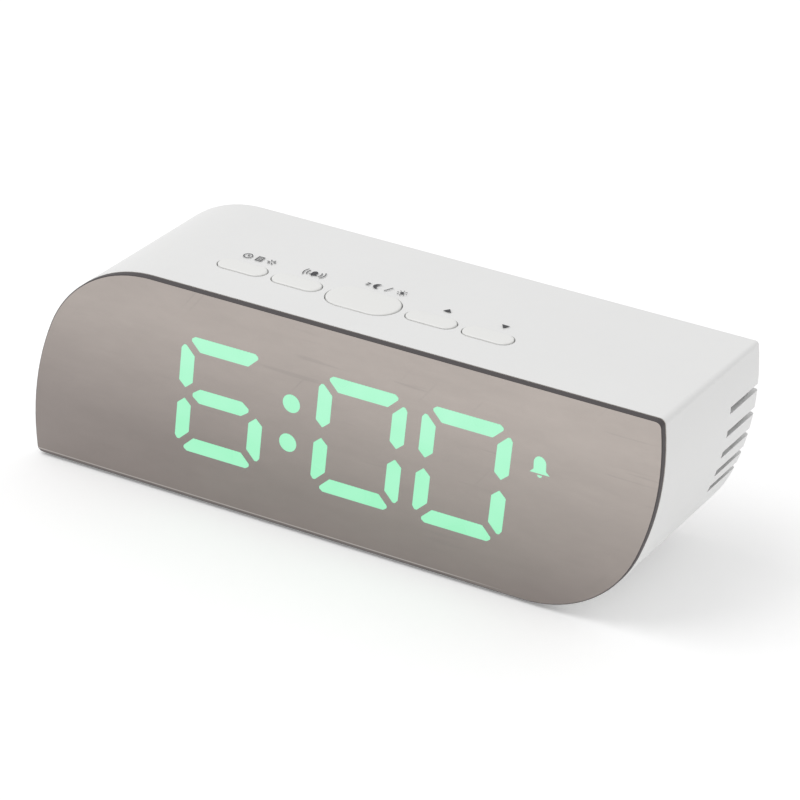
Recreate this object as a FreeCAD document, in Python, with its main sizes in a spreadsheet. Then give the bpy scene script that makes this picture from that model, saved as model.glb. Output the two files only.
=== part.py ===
import FreeCAD, Part
import math
import os

import Sketcher

# A mains or battery alarm clock: a moulded sleeve, open at the back, whose leaf-shaped front is covered
# by a mirror panel. The lit digits shine through the panel's mirror coat. Five keys stand in the top.
# Frame: X to the right seen from the front, Y from the mirror to the back, Z up.
# The origin is the middle of the footprint, on the surface that the clock stands on. Millimetres.

doc = FreeCAD.newDocument("alarm_clock")
sheet = doc.addObject("Spreadsheet::Sheet", "sizes")

DRIVING_SIZES = (
    # the outline of the case, seen from the front: it looks the same after half a turn
    ("width", 170.0, "case, left to right"),
    ("height", 55.2, "case, without its feet"),
    ("depth", 50.0, "front of the panel to the rim at the back"),
    ("long_radius", 70.6, "upper part of the curved side"),
    ("short_radius", 30.8, "lower part of the curved side"),
    ("side_run", 33.8, "end of the flat bottom to the widest point"),
    ("corner_radius", 1.6, "tight corner of the outline"),
    ("foot_stand", 0.8, "how far the feet lift the case"),
    # the front: clear panel, mirror coat on its back, adhesive gasket
    ("panel_thickness", 1.6, "clear acrylic panel"),
    ("panel_edge", 0.25, "rounding of the panel's front edge"),
    ("glue_line", 0.05, "between the panel and its coat"),
    ("coat_thickness", 0.15, "half-silvered film"),
    ("gasket_thickness", 0.2, "adhesive gasket"),
    ("gasket_inset", 0.6, "gasket in from the outline"),
    ("gasket_width", 2.4, "gasket, seen from the front"),
    # the sleeve
    ("wall", 2.2, "side walls of the sleeve"),
    ("front_wall", 1.8, "wall behind the panel"),
    ("inner_corner", 0.8, "tight corner inside the sleeve"),
    ("draft", 0.7, "moulding draft of the outside, in degrees"),
    ("rim_rounding", 1.0, "rounding of the rim at the back"),
    ("slot_length", 15.0, "side slot, from the rim forwards"),
    ("slot_height", 1.8, "side slot"),
    ("slot_depth", 9.0, "side slot, inwards from the widest point"),
    ("slot_first", 15.4, "highest slot above the middle of the case"),
    ("slot_pitch", 6.3, "first slot to second"),
    ("slot_closing", 0.6, "each later pitch is smaller by this"),
    # the rear cover and its screws
    ("cover_thickness", 2.4, "rear cover"),
    ("cover_recess", 0.8, "rim to the rear cover"),
    ("cover_gap", 0.25, "between the cover and the sleeve, all round"),
    ("cover_slot", 9.5, "slot in the cover, inwards from its edge"),
    ("post_radius", 2.8, "posts for the cover's screws"),
    ("post_outer", 70.0, "outer pair of posts from the middle"),
    ("post_inner", 56.0, "inner pair of posts from the middle"),
    ("post_rise", 20.0, "posts above and below the middle"),
    ("cover_screw_radius", 1.3, "cover screw's shank"),
    ("cover_screw_length", 10.0, "cover screw's shank"),
    ("cover_head_radius", 2.3, "cover screw's head"),
    ("cover_head_height", 1.4, "cover screw's head"),
    ("sound_hole", 0.9, "radius of a sound hole"),
    ("sound_ring", 5.0, "ring of sound holes"),
    ("sound_x", -56.0, "sound holes across"),
    # the battery bay in the rear cover
    ("bay_x", -12.0, "middle of the bay"),
    ("bay_length", 50.4, "inside, along the cells"),
    ("bay_height", 33.6, "inside, three cells high"),
    ("bay_depth", 11.6, "inside, from the door inwards"),
    ("bay_wall", 1.2, "walls of the bay"),
    ("door_ledge", 1.8, "ledge round the door"),
    ("door_thickness", 1.4, "battery door"),
    ("door_gap", 0.25, "round the battery door"),
    ("tab_width", 6.0, "door tab"),
    ("tab_reach", 1.3, "door tab under the cover"),
    ("tab_thickness", 0.65, "door tab"),
    ("tab_root", 1.0, "door tab, length laid over the door"),
    ("tab_spacing", 32.0, "between the two tabs"),
    ("grip_width", 9.0, "thumb grooves in the door"),
    ("grip_groove", 0.9, "one groove, upright"),
    ("grip_pitch", 2.0, "groove to groove"),
    ("grip_start", 3.0, "lowest groove from the door's lower edge"),
    ("grip_depth", 0.5, "grooves into the door"),
    ("cell_radius", 5.15, "small cylindrical cell"),
    ("cell_length", 43.6, "cell without its button"),
    ("cell_button", 1.0, "raised button of the cell"),
    ("cell_button_radius", 1.9, "raised button of the cell"),
    ("cell_lift", 0.4, "cell above the floor of the bay"),
    ("cell_pitch", 11.0, "cell to cell"),
    ("contact_thickness", 0.3, "contact plates"),
    ("contact_lift", 0.8, "contact plate above the floor of the bay"),
    ("contact_depth", 8.8, "contact plate, towards the door"),
    ("contact_height", 8.8, "contact plate, upright"),
    ("spring_bow", 4.4, "radius of a contact spring's bow"),
    ("spring_width", 5.0, "contact spring"),
    # the keys in the top
    ("key_x", -2.8, "middle of the row of keys"),
    ("key_y", 17.2, "row of keys behind the front"),
    ("key_near", 18.3, "middle key to its neighbours"),
    ("key_far", 33.4, "middle key to the outer keys"),
    ("key_length", 13.0, "small key"),
    ("key_width", 5.4, "small key"),
    ("snooze_length", 19.0, "middle key"),
    ("snooze_width", 10.9, "middle key"),
    ("key_gap", 0.3, "round each key"),
    ("key_proud", 0.2, "key above the case"),
    ("key_edge", 0.3, "rounding of a key's top edge"),
    ("key_travel", 0.5, "travel of a key"),
    ("flange", 0.9, "flange that keeps a key in, width and height"),
    ("flange_drop", 0.2, "flange below the wall"),
    ("stem_radius", 1.6, "key's stem"),
    ("stem_length", 1.2, "key's stem"),
    ("plunger_radius", 1.5, "switch plunger"),
    ("plunger_height", 1.0, "plunger above its switch"),
    ("plunger_root", 0.8, "plunger inside its switch"),
    ("switch_side", 6.0, "switch body"),
    ("switch_height", 3.5, "switch body"),
    # circuit boards
    ("board_thickness", 1.6, "all boards"),
    ("key_board_length", 98.0, "key board"),
    ("key_board_depth", 16.2, "key board"),
    ("key_board_front", 4.4, "key board's front edge before the row of keys"),
    ("key_screw_run", 45.0, "key board's screws from the middle key"),
    ("boss_radius", 2.6, "bosses for the boards' screws"),
    ("board_screw_radius", 0.95, "board screw's shank"),
    ("board_screw_length", 5.0, "board screw's shank"),
    ("board_head_radius", 1.9, "board screw's head"),
    ("board_head_height", 1.2, "board screw's head"),
    ("main_board_left", -61.0, "main board"),
    ("main_board_right", 69.0, "main board"),
    ("main_board_height", 32.4, "main board"),
    ("main_screw_left", -57.4, "main board's screws on the left"),
    ("main_screw_right", 65.0, "main board's screws on the right"),
    ("main_screw_rise", 10.0, "main board's screws, up and down"),
    ("socket_x", 45.0, "power socket across"),
    ("power_board_drop", 16.4, "underside of the power board below the middle of the case"),
    ("power_board_width", 22.0, "power board"),
    ("power_board_depth", 14.0, "power board"),
    ("power_screw_run", 8.0, "power board's screws from its middle"),
    ("socket_width", 7.6, "power socket"),
    ("socket_height", 2.8, "power socket"),
    ("socket_depth", 5.6, "power socket"),
    ("socket_recess", 0.4, "power socket behind the face of the cover"),
    ("socket_sheet", 0.35, "sheet of the power socket"),
    ("socket_margin", 0.5, "cover's opening round the power socket"),
    ("tongue_width", 3.8, "tongue of the power socket"),
    ("tongue_thickness", 0.6, "tongue of the power socket"),
    ("tongue_recess", 1.6, "tongue behind the face of the cover"),
    ("ribbon_x", -16.0, "middle of the ribbon cable"),
    ("ribbon_width", 10.0, "ribbon cable"),
    ("ribbon_thickness", 0.9, "ribbon cable"),
    ("wire_radius", 0.65, "wires"),
    # the display
    ("display_left", -54.0, "display block"),
    ("display_right", 61.0, "display block"),
    ("display_height", 33.6, "display block"),
    ("display_depth", 7.7, "display block"),
    ("film_thickness", 0.3, "tinted film on the block"),
    ("window_rim", 1.4, "front wall over the block's edge"),
    ("digit_width", 23.8, "digit"),
    ("digit_height", 30.9, "digit"),
    ("digit_rise", 0.3, "digits above the middle of the case"),
    ("digit_lean", 0.088, "how far a digit leans to the right, as a share of its height"),
    ("stroke", 3.8, "stroke of a digit"),
    ("stroke_gap", 1.4, "half of the gap between two strokes"),
    ("stroke_blunt", 1.3, "thin tip cut off a stroke's mitred end"),
    ("hour_x", -31.3, "middle of the hours' digit"),
    ("minute_tens_x", 6.7, "middle of the next digit"),
    ("minute_ones_x", 34.4, "middle of the last digit"),
    ("lead_x", -59.4, "middle of the leading 1, if it were a whole digit"),
    ("colon_x", -12.1, "colon"),
    ("colon_rise", 5.25, "colon's dots from the digits' middle"),
    ("colon_radius", 2.35, "colon's dots"),
    ("mark_x", 54.5, "alarm mark"),
    ("mark_rise", 7.3, "alarm mark above the digits' middle"),
    ("mark_size", 5.2, "alarm mark"),
    ("light_depth", 6.2, "light pipes in the block"),
    ("chip_side", 1.6, "light chip"),
    ("chip_height", 0.7, "light chip"),
    # feet
    ("foot_radius", 5.0, "foot"),
    ("foot_recess", 0.6, "recess for a foot"),
    ("foot_edge", 0.3, "rounding of the sole"),
    ("foot_gap", 0.2, "round a foot in its recess"),
    ("foot_left", -72.0, "left feet"),
    ("foot_right", 42.0, "right feet"),
    ("foot_run", 16.0, "feet from the middle, front to back"),
)


class Size:
    """A length that carries its value and the spreadsheet formula that gives it."""

    def __init__(self, value, formula):
        self.value = float(value)
        self.formula = formula

    def __add__(self, other):
        other = as_size(other)
        return Size(self.value + other.value, f"({self.formula} + {other.formula})")

    def __sub__(self, other):
        other = as_size(other)
        return Size(self.value - other.value, f"({self.formula} - {other.formula})")

    def __mul__(self, factor):
        return Size(self.value * factor, f"({self.formula} * {factor})")

    def __truediv__(self, divisor):
        return Size(self.value / divisor, f"({self.formula} / {divisor})")

    def __neg__(self):
        return self * -1


def as_size(number):
    """A plain number as a Size; a Size stays as it is."""
    if isinstance(number, Size):
        return number
    return Size(number, repr(float(number)))


class Sizes:
    """The spreadsheet's cells by name, as Size values."""


size = Sizes()
for row, (name, number, note) in enumerate(DRIVING_SIZES, start=1):
    sheet.set(f"A{row}", name)
    sheet.set(f"B{row}", str(number))
    sheet.set(f"C{row}", note)
    sheet.setAlias(f"B{row}", name)
    setattr(size, name, Size(number, f"sizes.{name}"))
doc.recompute()

# ---------------------------------------------------------------- places that several pieces share

# clearances that every fit of a kind shares
SHANK_PLAY = 0.15
HEAD_PLAY = 0.2
OVERCUT = 1.0
BOSS_INSET = 0.4

half_width = size.width / 2
half_height = size.height / 2
front_y = -size.depth / 2
back_y = size.depth / 2
coat_y = front_y + size.panel_thickness + size.glue_line
gasket_y = coat_y + size.coat_thickness
case_y = gasket_y + size.gasket_thickness
inside_y = case_y + size.front_wall
mid_z = size.foot_stand + half_height
top_z = size.foot_stand + size.height
ceiling_z = top_z - size.wall
floor_z = size.foot_stand + size.wall
cover_back_y = back_y - size.cover_recess
cover_front_y = cover_back_y - size.cover_thickness
door_front_y = cover_back_y - size.door_thickness
cover_inset = size.wall + size.cover_gap
digits_z = mid_z + size.digit_rise
film_y = inside_y
block_y = film_y + size.film_thickness
board_y = block_y + size.display_depth
board_back_y = board_y + size.board_thickness
key_row_y = front_y + size.key_y
flange_top_z = ceiling_z - size.flange_drop
flange_bottom_z = flange_top_z - size.flange
plunger_top_z = flange_bottom_z - size.stem_length
switch_top_z = plunger_top_z - size.plunger_height
switch_bottom_z = switch_top_z - size.switch_height
key_board_z = switch_bottom_z - size.board_thickness
bay_half_length = size.bay_length / 2
bay_half_height = size.bay_height / 2
door_half_length = bay_half_length + size.door_ledge
door_half_height = bay_half_height + size.door_ledge
bay_floor_y = door_front_y - size.bay_depth
power_board_y = cover_front_y - size.power_board_depth
power_board_z = mid_z - size.power_board_drop
power_top_z = power_board_z + size.board_thickness
key_hanger_y = key_row_y + size.key_board_depth / 2
power_screw_y = power_board_y + size.boss_radius + BOSS_INSET
cell_y = bay_floor_y + size.cell_radius + size.cell_lift

POSTS = (
    (size.post_outer, size.post_rise),
    (-size.post_inner, size.post_rise),
    (size.post_inner, -size.post_rise),
    (-size.post_outer, -size.post_rise),
)
MAIN_SCREWS = (
    (size.main_screw_left, size.main_screw_rise),
    (size.main_screw_left, -size.main_screw_rise),
    (size.main_screw_right, size.main_screw_rise),
    (size.main_screw_right, -size.main_screw_rise),
)
KEY_SCREWS = (
    size.key_x - size.key_screw_run,
    size.key_x + size.key_screw_run,
)
POWER_SCREWS = (
    size.socket_x - size.power_screw_run,
    size.socket_x + size.power_screw_run,
)
FEET = (
    (size.foot_left, -size.foot_run),
    (size.foot_right, -size.foot_run),
    (size.foot_left, size.foot_run),
    (size.foot_right, size.foot_run),
)
KEYS = (
    ("mode", size.key_x - size.key_far, size.key_length, size.key_width),
    ("alarm", size.key_x - size.key_near, size.key_length, size.key_width),
    ("snooze", size.key_x, size.snooze_length, size.snooze_width),
    ("up", size.key_x + size.key_near, size.key_length, size.key_width),
    ("down", size.key_x + size.key_far, size.key_length, size.key_width),
)
SLOT_COUNT = 5
SLOTS = [
    size.slot_first - size.slot_pitch * step + size.slot_closing * (step * (step - 1) / 2)
    for step in range(SLOT_COUNT)
]

nodes = []


def node(thing, label):
    """Names a finished sub-part and lists it for export."""
    thing.Label = label
    nodes.append(thing)
    return thing


# ---------------------------------------------------------------- sketches and features

ORIGIN = -1
START, END, CENTRE = 1, 2, 3


def new_body(label):
    """An empty PartDesign body that becomes one node."""
    return node(doc.addObject("PartDesign::Body", label + "_body"), label)


def new_sketch(body, name, role, across=0.0, up=0.0, out=0.0):
    """A sketch on one of the body's origin planes, its origin moved within the plane and out of it."""
    plane = next(p for p in body.Origin.OriginFeatures if p.Role == role)
    sketch = body.newObject("Sketcher::SketchObject", f"{body.Name}_{name}")
    sketch.AttachmentSupport = [(plane, "")]
    sketch.MapMode = "FlatFace"
    for axis, distance in (("x", across), ("y", up), ("z", out)):
        sketch.setExpression(f"AttachmentOffset.Base.{axis}", as_size(distance).formula)
    return sketch


def front_sketch(body, name, depth_y):
    """A sketch seen from the front, centred on the case; its normal points at the viewer."""
    return new_sketch(body, name, "XZ_Plane", up=mid_z, out=-depth_y)


def top_sketch(body, name, level_z):
    """A sketch seen from above; its normal points up."""
    return new_sketch(body, name, "XY_Plane", out=level_z)


def constrain(sketch, kind, *where, length):
    """A dimension bound to the spreadsheet."""
    length = as_size(length)
    index = sketch.addConstraint(Sketcher.Constraint(kind, *where, length.value))
    sketch.setExpression(f"Constraints[{index}]", length.formula)


def place(sketch, piece, point, across, up):
    """Pins one point of a sketch piece by its distances from the sketch's origin."""
    constrain(sketch, "DistanceX", ORIGIN, START, piece, point, length=across)
    constrain(sketch, "DistanceY", ORIGIN, START, piece, point, length=up)


def vector(across, up):
    """A point in a sketch's own plane."""
    return FreeCAD.Vector(across, up, 0)


def line(sketch, start, end):
    return sketch.addGeometry(Part.LineSegment(vector(*start), vector(*end)))


def arc(sketch, centre, radius, from_angle, to_angle):
    circle = Part.Circle(vector(*centre), FreeCAD.Vector(0, 0, 1), radius)
    return sketch.addGeometry(Part.ArcOfCircle(circle, from_angle, to_angle))


def draw_circle(sketch, across, up, radius):
    across, up, radius = as_size(across), as_size(up), as_size(radius)
    circle = Part.Circle(vector(across.value, up.value), FreeCAD.Vector(0, 0, 1), radius.value)
    piece = sketch.addGeometry(circle)
    place(sketch, piece, CENTRE, across, up)
    constrain(sketch, "Radius", piece, length=radius)


def draw_rectangle(sketch, left, right, low, high):
    left, right, low, high = (as_size(edge) for edge in (left, right, low, high))
    corners = (
        (left.value, low.value),
        (right.value, low.value),
        (right.value, high.value),
        (left.value, high.value),
    )
    sides = [line(sketch, corners[i], corners[(i + 1) % 4]) for i in range(4)]
    for i in range(4):
        join = Sketcher.Constraint("Coincident", sides[i], END, sides[(i + 1) % 4], START)
        sketch.addConstraint(join)
        sketch.addConstraint(Sketcher.Constraint(("Horizontal", "Vertical")[i % 2], sides[i]))
    place(sketch, sides[0], START, left, low)
    place(sketch, sides[2], START, right, high)


def draw_stadium(sketch, across, up, length, width):
    """A bar with half-round ends, along the sketch's first axis."""
    radius = width / 2
    run = (length - width) / 2
    x, y, r, half = across.value, up.value, radius.value, run.value
    right = arc(sketch, (x + half, y), r, -math.pi / 2, math.pi / 2)
    top = line(sketch, (x + half, y + r), (x - half, y + r))
    left = arc(sketch, (x - half, y), r, math.pi / 2, 3 * math.pi / 2)
    bottom = line(sketch, (x - half, y - r), (x + half, y - r))
    loop = (right, top, left, bottom)
    for i in range(4):
        sketch.addConstraint(Sketcher.Constraint("Tangent", loop[i], END, loop[(i + 1) % 4], START))
    place(sketch, right, CENTRE, across + run, up)
    place(sketch, left, CENTRE, across - run, up)
    constrain(sketch, "Radius", right, length=radius)


def draw_outline(sketch, inset, corner):
    """The case's outline moved inwards by inset, with tight corners of the radius given.

    Each side is a long arc above a short one on the right, and the same after half a turn on the
    left. Moving it inwards keeps the arcs' centres and shortens their radii.
    """
    inset, corner = as_size(inset), as_size(corner)
    side = half_width - inset
    rise = half_height - inset
    long_radius = size.long_radius - inset
    short_radius = size.short_radius - inset
    flat_end = half_width - size.side_run

    a, h, c = side.value, rise.value, corner.value
    long_r, short_r, flat = long_radius.value, short_radius.value, flat_end.value
    short_centre = (flat, short_r - h)
    long_x = a - long_r
    long_centre = (
        long_x,
        short_centre[1] + math.sqrt((long_r - short_r) ** 2 - (flat - long_x) ** 2),
    )
    meeting = math.atan2(short_centre[1] - long_centre[1], short_centre[0] - long_centre[0])
    corner_y = h - c
    corner_x = long_x + math.sqrt((long_r - c) ** 2 - (corner_y - long_centre[1]) ** 2)
    leaving = math.atan2(corner_y - long_centre[1], corner_x - long_x)

    loop = []
    for turn in (0, 1):
        sign = 1 - 2 * turn
        spin = turn * math.pi
        loop.append(line(sketch, (-sign * corner_x, -sign * h), (sign * flat, -sign * h)))
        for centre, radius, start, end in (
            (short_centre, short_r, -math.pi / 2, meeting),
            (long_centre, long_r, meeting, leaving),
            ((corner_x, corner_y), c, leaving, math.pi / 2),
        ):
            middle = (sign * centre[0], sign * centre[1])
            loop.append(arc(sketch, middle, radius, start + spin, end + spin))
    for i, piece in enumerate(loop):
        following = loop[(i + 1) % len(loop)]
        sketch.addConstraint(Sketcher.Constraint("Tangent", piece, END, following, START))
    for first, sign in ((0, 1), (4, -1)):
        flat_line, short_arc, long_arc, corner_arc = loop[first : first + 4]
        sketch.addConstraint(Sketcher.Constraint("Horizontal", flat_line))
        place(sketch, flat_line, END, flat_end * sign, -rise * sign)
        constrain(sketch, "Radius", short_arc, length=short_radius)
        constrain(sketch, "Radius", long_arc, length=long_radius)
        constrain(sketch, "Radius", corner_arc, length=corner)
        long_middle = (side - long_radius) * sign
        constrain(sketch, "DistanceX", ORIGIN, START, long_arc, CENTRE, length=long_middle)


def check_feature(feature):
    """Stops on a feature that did not compute."""
    if "Invalid" in feature.State or feature.Shape.isNull():
        raise ValueError(f"{feature.Name} did not compute: {feature.getStatusString()}")


def extrude(body, kind, sketch, length, along_normal):
    """Pads or pockets a sketch, along its normal or against it."""
    doc.recompute()
    before = 0.0 if body.Shape.isNull() else body.Shape.Volume
    feature = body.newObject(f"PartDesign::{kind}", f"{sketch.Name}_{kind.lower()}")
    feature.Profile = sketch
    feature.setExpression("Length", as_size(length).formula)
    feature.Reversed = along_normal if kind == "Pocket" else not along_normal
    body.Tip = feature
    doc.recompute()
    check_feature(feature)
    change = body.Shape.Volume - before
    if (change <= 0) == (kind == "Pad"):
        raise ValueError(f"{feature.Name} changed the volume by {change:.3f}")
    return feature


def pad(body, sketch, length, along_normal=True):
    return extrude(body, "Pad", sketch, length, along_normal)


def pocket(body, sketch, length, along_normal=False):
    return extrude(body, "Pocket", sketch, length, along_normal)


def flat_faces(shape, direction, level):
    """Names of the flat faces whose outward normal is direction and whose plane lies at level."""
    names = []
    for number, face in enumerate(shape.Faces, start=1):
        if face.Surface.TypeId != "Part::GeomPlane":
            continue
        normal = face.normalAt(0, 0)
        if normal.dot(direction) > 0.999 and abs(face.CenterOfMass.dot(direction) - level) < 0.01:
            names.append(f"Face{number}")
    return names


def round_edges(body, direction, level, radius):
    """Rounds every edge of the flat faces that look in a direction at a level along it."""
    base = body.Tip
    feature = body.newObject("PartDesign::Fillet", body.Name + "_rounding")
    feature.Base = (base, flat_faces(base.Shape, direction, level))
    feature.setExpression("Radius", radius.formula)
    body.Tip = feature
    doc.recompute()
    check_feature(feature)


TO_FRONT = FreeCAD.Vector(0, -1, 0)
TO_BACK = FreeCAD.Vector(0, 1, 0)
UP = FreeCAD.Vector(0, 0, 1)

# ---------------------------------------------------------------- primitives

TURNS = {
    "z": FreeCAD.Rotation(),
    "-z": FreeCAD.Rotation(FreeCAD.Vector(1, 0, 0), 180),
    "x": FreeCAD.Rotation(FreeCAD.Vector(0, 1, 0), 90),
    "-x": FreeCAD.Rotation(FreeCAD.Vector(0, 1, 0), -90),
    "y": FreeCAD.Rotation(FreeCAD.Vector(1, 0, 0), -90),
    "-y": FreeCAD.Rotation(FreeCAD.Vector(1, 0, 0), 90),
}


def settle(thing, x, y, z, facing="z"):
    """Turns a primitive so that its own Z looks along facing, and binds its place."""
    thing.Placement = FreeCAD.Placement(FreeCAD.Vector(), TURNS[facing])
    for axis, distance in (("x", x), ("y", y), ("z", z)):
        thing.setExpression(f"Placement.Base.{axis}", as_size(distance).formula)
    return thing


def block(name, left, right, front, back, low, high):
    """A box between six planes."""
    thing = doc.addObject("Part::Box", name)
    for prop, first, last in (("Length", left, right), ("Width", front, back), ("Height", low, high)):
        thing.setExpression(prop, (as_size(last) - as_size(first)).formula)
    return settle(thing, left, front, low)


def rod(name, radius, length, x, y, z, facing="z"):
    """A round bar from a point, along facing."""
    thing = doc.addObject("Part::Cylinder", name)
    thing.setExpression("Radius", as_size(radius).formula)
    thing.setExpression("Height", as_size(length).formula)
    return settle(thing, x, y, z, facing)


def cut(name, base, tool):
    thing = doc.addObject("Part::Cut", name)
    thing.Base = base
    thing.Tool = tool
    return thing


def fuse(name, *pieces):
    thing = doc.addObject("Part::MultiFuse", name)
    thing.Shapes = list(pieces)
    thing.Refine = True
    return thing


def group(name, pieces):
    """Several separate solids in one node."""
    thing = doc.addObject("Part::Compound", name)
    thing.Links = pieces
    return thing


# ---------------------------------------------------------------- front panel, coat and gasket


def make_front_panel():
    """Clear acrylic sheet, cut to the case's outline, its front edge broken."""
    body = new_body("front_panel")
    sketch = front_sketch(body, "outline", front_y)
    draw_outline(sketch, 0.0, size.corner_radius)
    pad(body, sketch, size.panel_thickness, along_normal=False)
    round_edges(body, TO_FRONT, -front_y.value, size.panel_edge)


def make_mirror_coat():
    """Half-silvered film on the back of the panel."""
    body = new_body("mirror_coat")
    sketch = front_sketch(body, "outline", coat_y)
    draw_outline(sketch, 0.0, size.corner_radius)
    pad(body, sketch, size.coat_thickness, along_normal=False)


def make_gasket():
    """Adhesive gasket between the coat and the sleeve, a ring along the outline."""
    body = new_body("panel_gasket")
    sketch = front_sketch(body, "ring", gasket_y)
    draw_outline(sketch, size.gasket_inset, size.corner_radius)
    draw_outline(sketch, size.gasket_inset + size.gasket_width, size.inner_corner)
    pad(body, sketch, size.gasket_thickness, along_normal=False)


# ---------------------------------------------------------------- the sleeve


def make_housing():
    """Moulded sleeve with a wall behind the panel; everything else is fixed inside it."""
    body = new_body("housing")
    outside = front_sketch(body, "outside", case_y)
    draw_outline(outside, 0.0, size.corner_radius)
    sleeve = pad(body, outside, back_y - case_y, along_normal=False)
    sleeve.setExpression("TaperAngle", (-size.draft).formula)
    doc.recompute()
    check_feature(sleeve)
    round_edges(body, TO_BACK, back_y.value, size.rim_rounding)

    cavity = front_sketch(body, "cavity", inside_y)
    draw_outline(cavity, size.wall, size.inner_corner)
    pocket(body, cavity, back_y - inside_y + OVERCUT, along_normal=False)

    window = front_sketch(body, "window", case_y)
    draw_rectangle(
        window,
        size.display_left + size.window_rim,
        size.display_right - size.window_rim,
        -size.display_height / 2 + size.window_rim,
        size.display_height / 2 - size.window_rim,
    )
    pocket(body, window, size.front_wall, along_normal=False)

    openings = top_sketch(body, "key_openings", top_z)
    for _, x, length, width in KEYS:
        gap = size.key_gap * 2
        draw_stadium(openings, x, key_row_y, length + gap, width + gap)
    pocket(body, openings, size.wall)

    for side, sign in (("right", 1), ("left", -1)):
        slots = new_sketch(body, f"{side}_slots", "YZ_Plane", up=mid_z, out=half_width * sign)
        for rise in SLOTS:
            low = rise * sign - size.slot_height / 2
            high = low + size.slot_height
            draw_rectangle(slots, back_y - size.slot_length, back_y + OVERCUT, low, high)
        pocket(body, slots, size.slot_depth, along_normal=sign < 0)

    posts = front_sketch(body, "posts", inside_y)
    for x, z in POSTS:
        draw_circle(posts, x, z, size.post_radius)
    pad(body, posts, cover_front_y - inside_y, along_normal=False)
    bosses = front_sketch(body, "board_bosses", inside_y)
    for x, z in MAIN_SCREWS:
        draw_circle(bosses, x, z, size.boss_radius)
    pad(body, bosses, board_y - inside_y, along_normal=False)
    hangers = top_sketch(body, "key_board_bosses", ceiling_z)
    for x in KEY_SCREWS:
        draw_circle(hangers, x, key_hanger_y, size.boss_radius)
    pad(body, hangers, ceiling_z - switch_bottom_z, along_normal=False)
    stands = top_sketch(body, "power_board_bosses", floor_z)
    for x in POWER_SCREWS:
        draw_circle(stands, x, power_screw_y, size.boss_radius)
    pad(body, stands, power_board_z - floor_z)

    holes = front_sketch(body, "post_holes", cover_front_y)
    for x, z in POSTS:
        draw_circle(holes, x, z, size.cover_screw_radius)
    pocket(body, holes, size.cover_screw_length, along_normal=True)
    holes = front_sketch(body, "board_holes", board_y)
    for x, z in MAIN_SCREWS:
        draw_circle(holes, x, z, size.board_screw_radius)
    pocket(body, holes, size.board_screw_length, along_normal=True)
    holes = top_sketch(body, "key_board_holes", switch_bottom_z)
    for x in KEY_SCREWS:
        draw_circle(holes, x, key_hanger_y, size.board_screw_radius)
    pocket(body, holes, size.board_screw_length, along_normal=True)
    holes = top_sketch(body, "power_board_holes", power_board_z)
    for x in POWER_SCREWS:
        draw_circle(holes, x, power_screw_y, size.board_screw_radius)
    pocket(body, holes, size.board_screw_length)

    recesses = top_sketch(body, "foot_recesses", size.foot_stand)
    for x, y in FEET:
        draw_circle(recesses, x, y, size.foot_radius + size.foot_gap)
    pocket(body, recesses, size.foot_recess, along_normal=True)


# ---------------------------------------------------------------- rear cover and battery door


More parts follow.
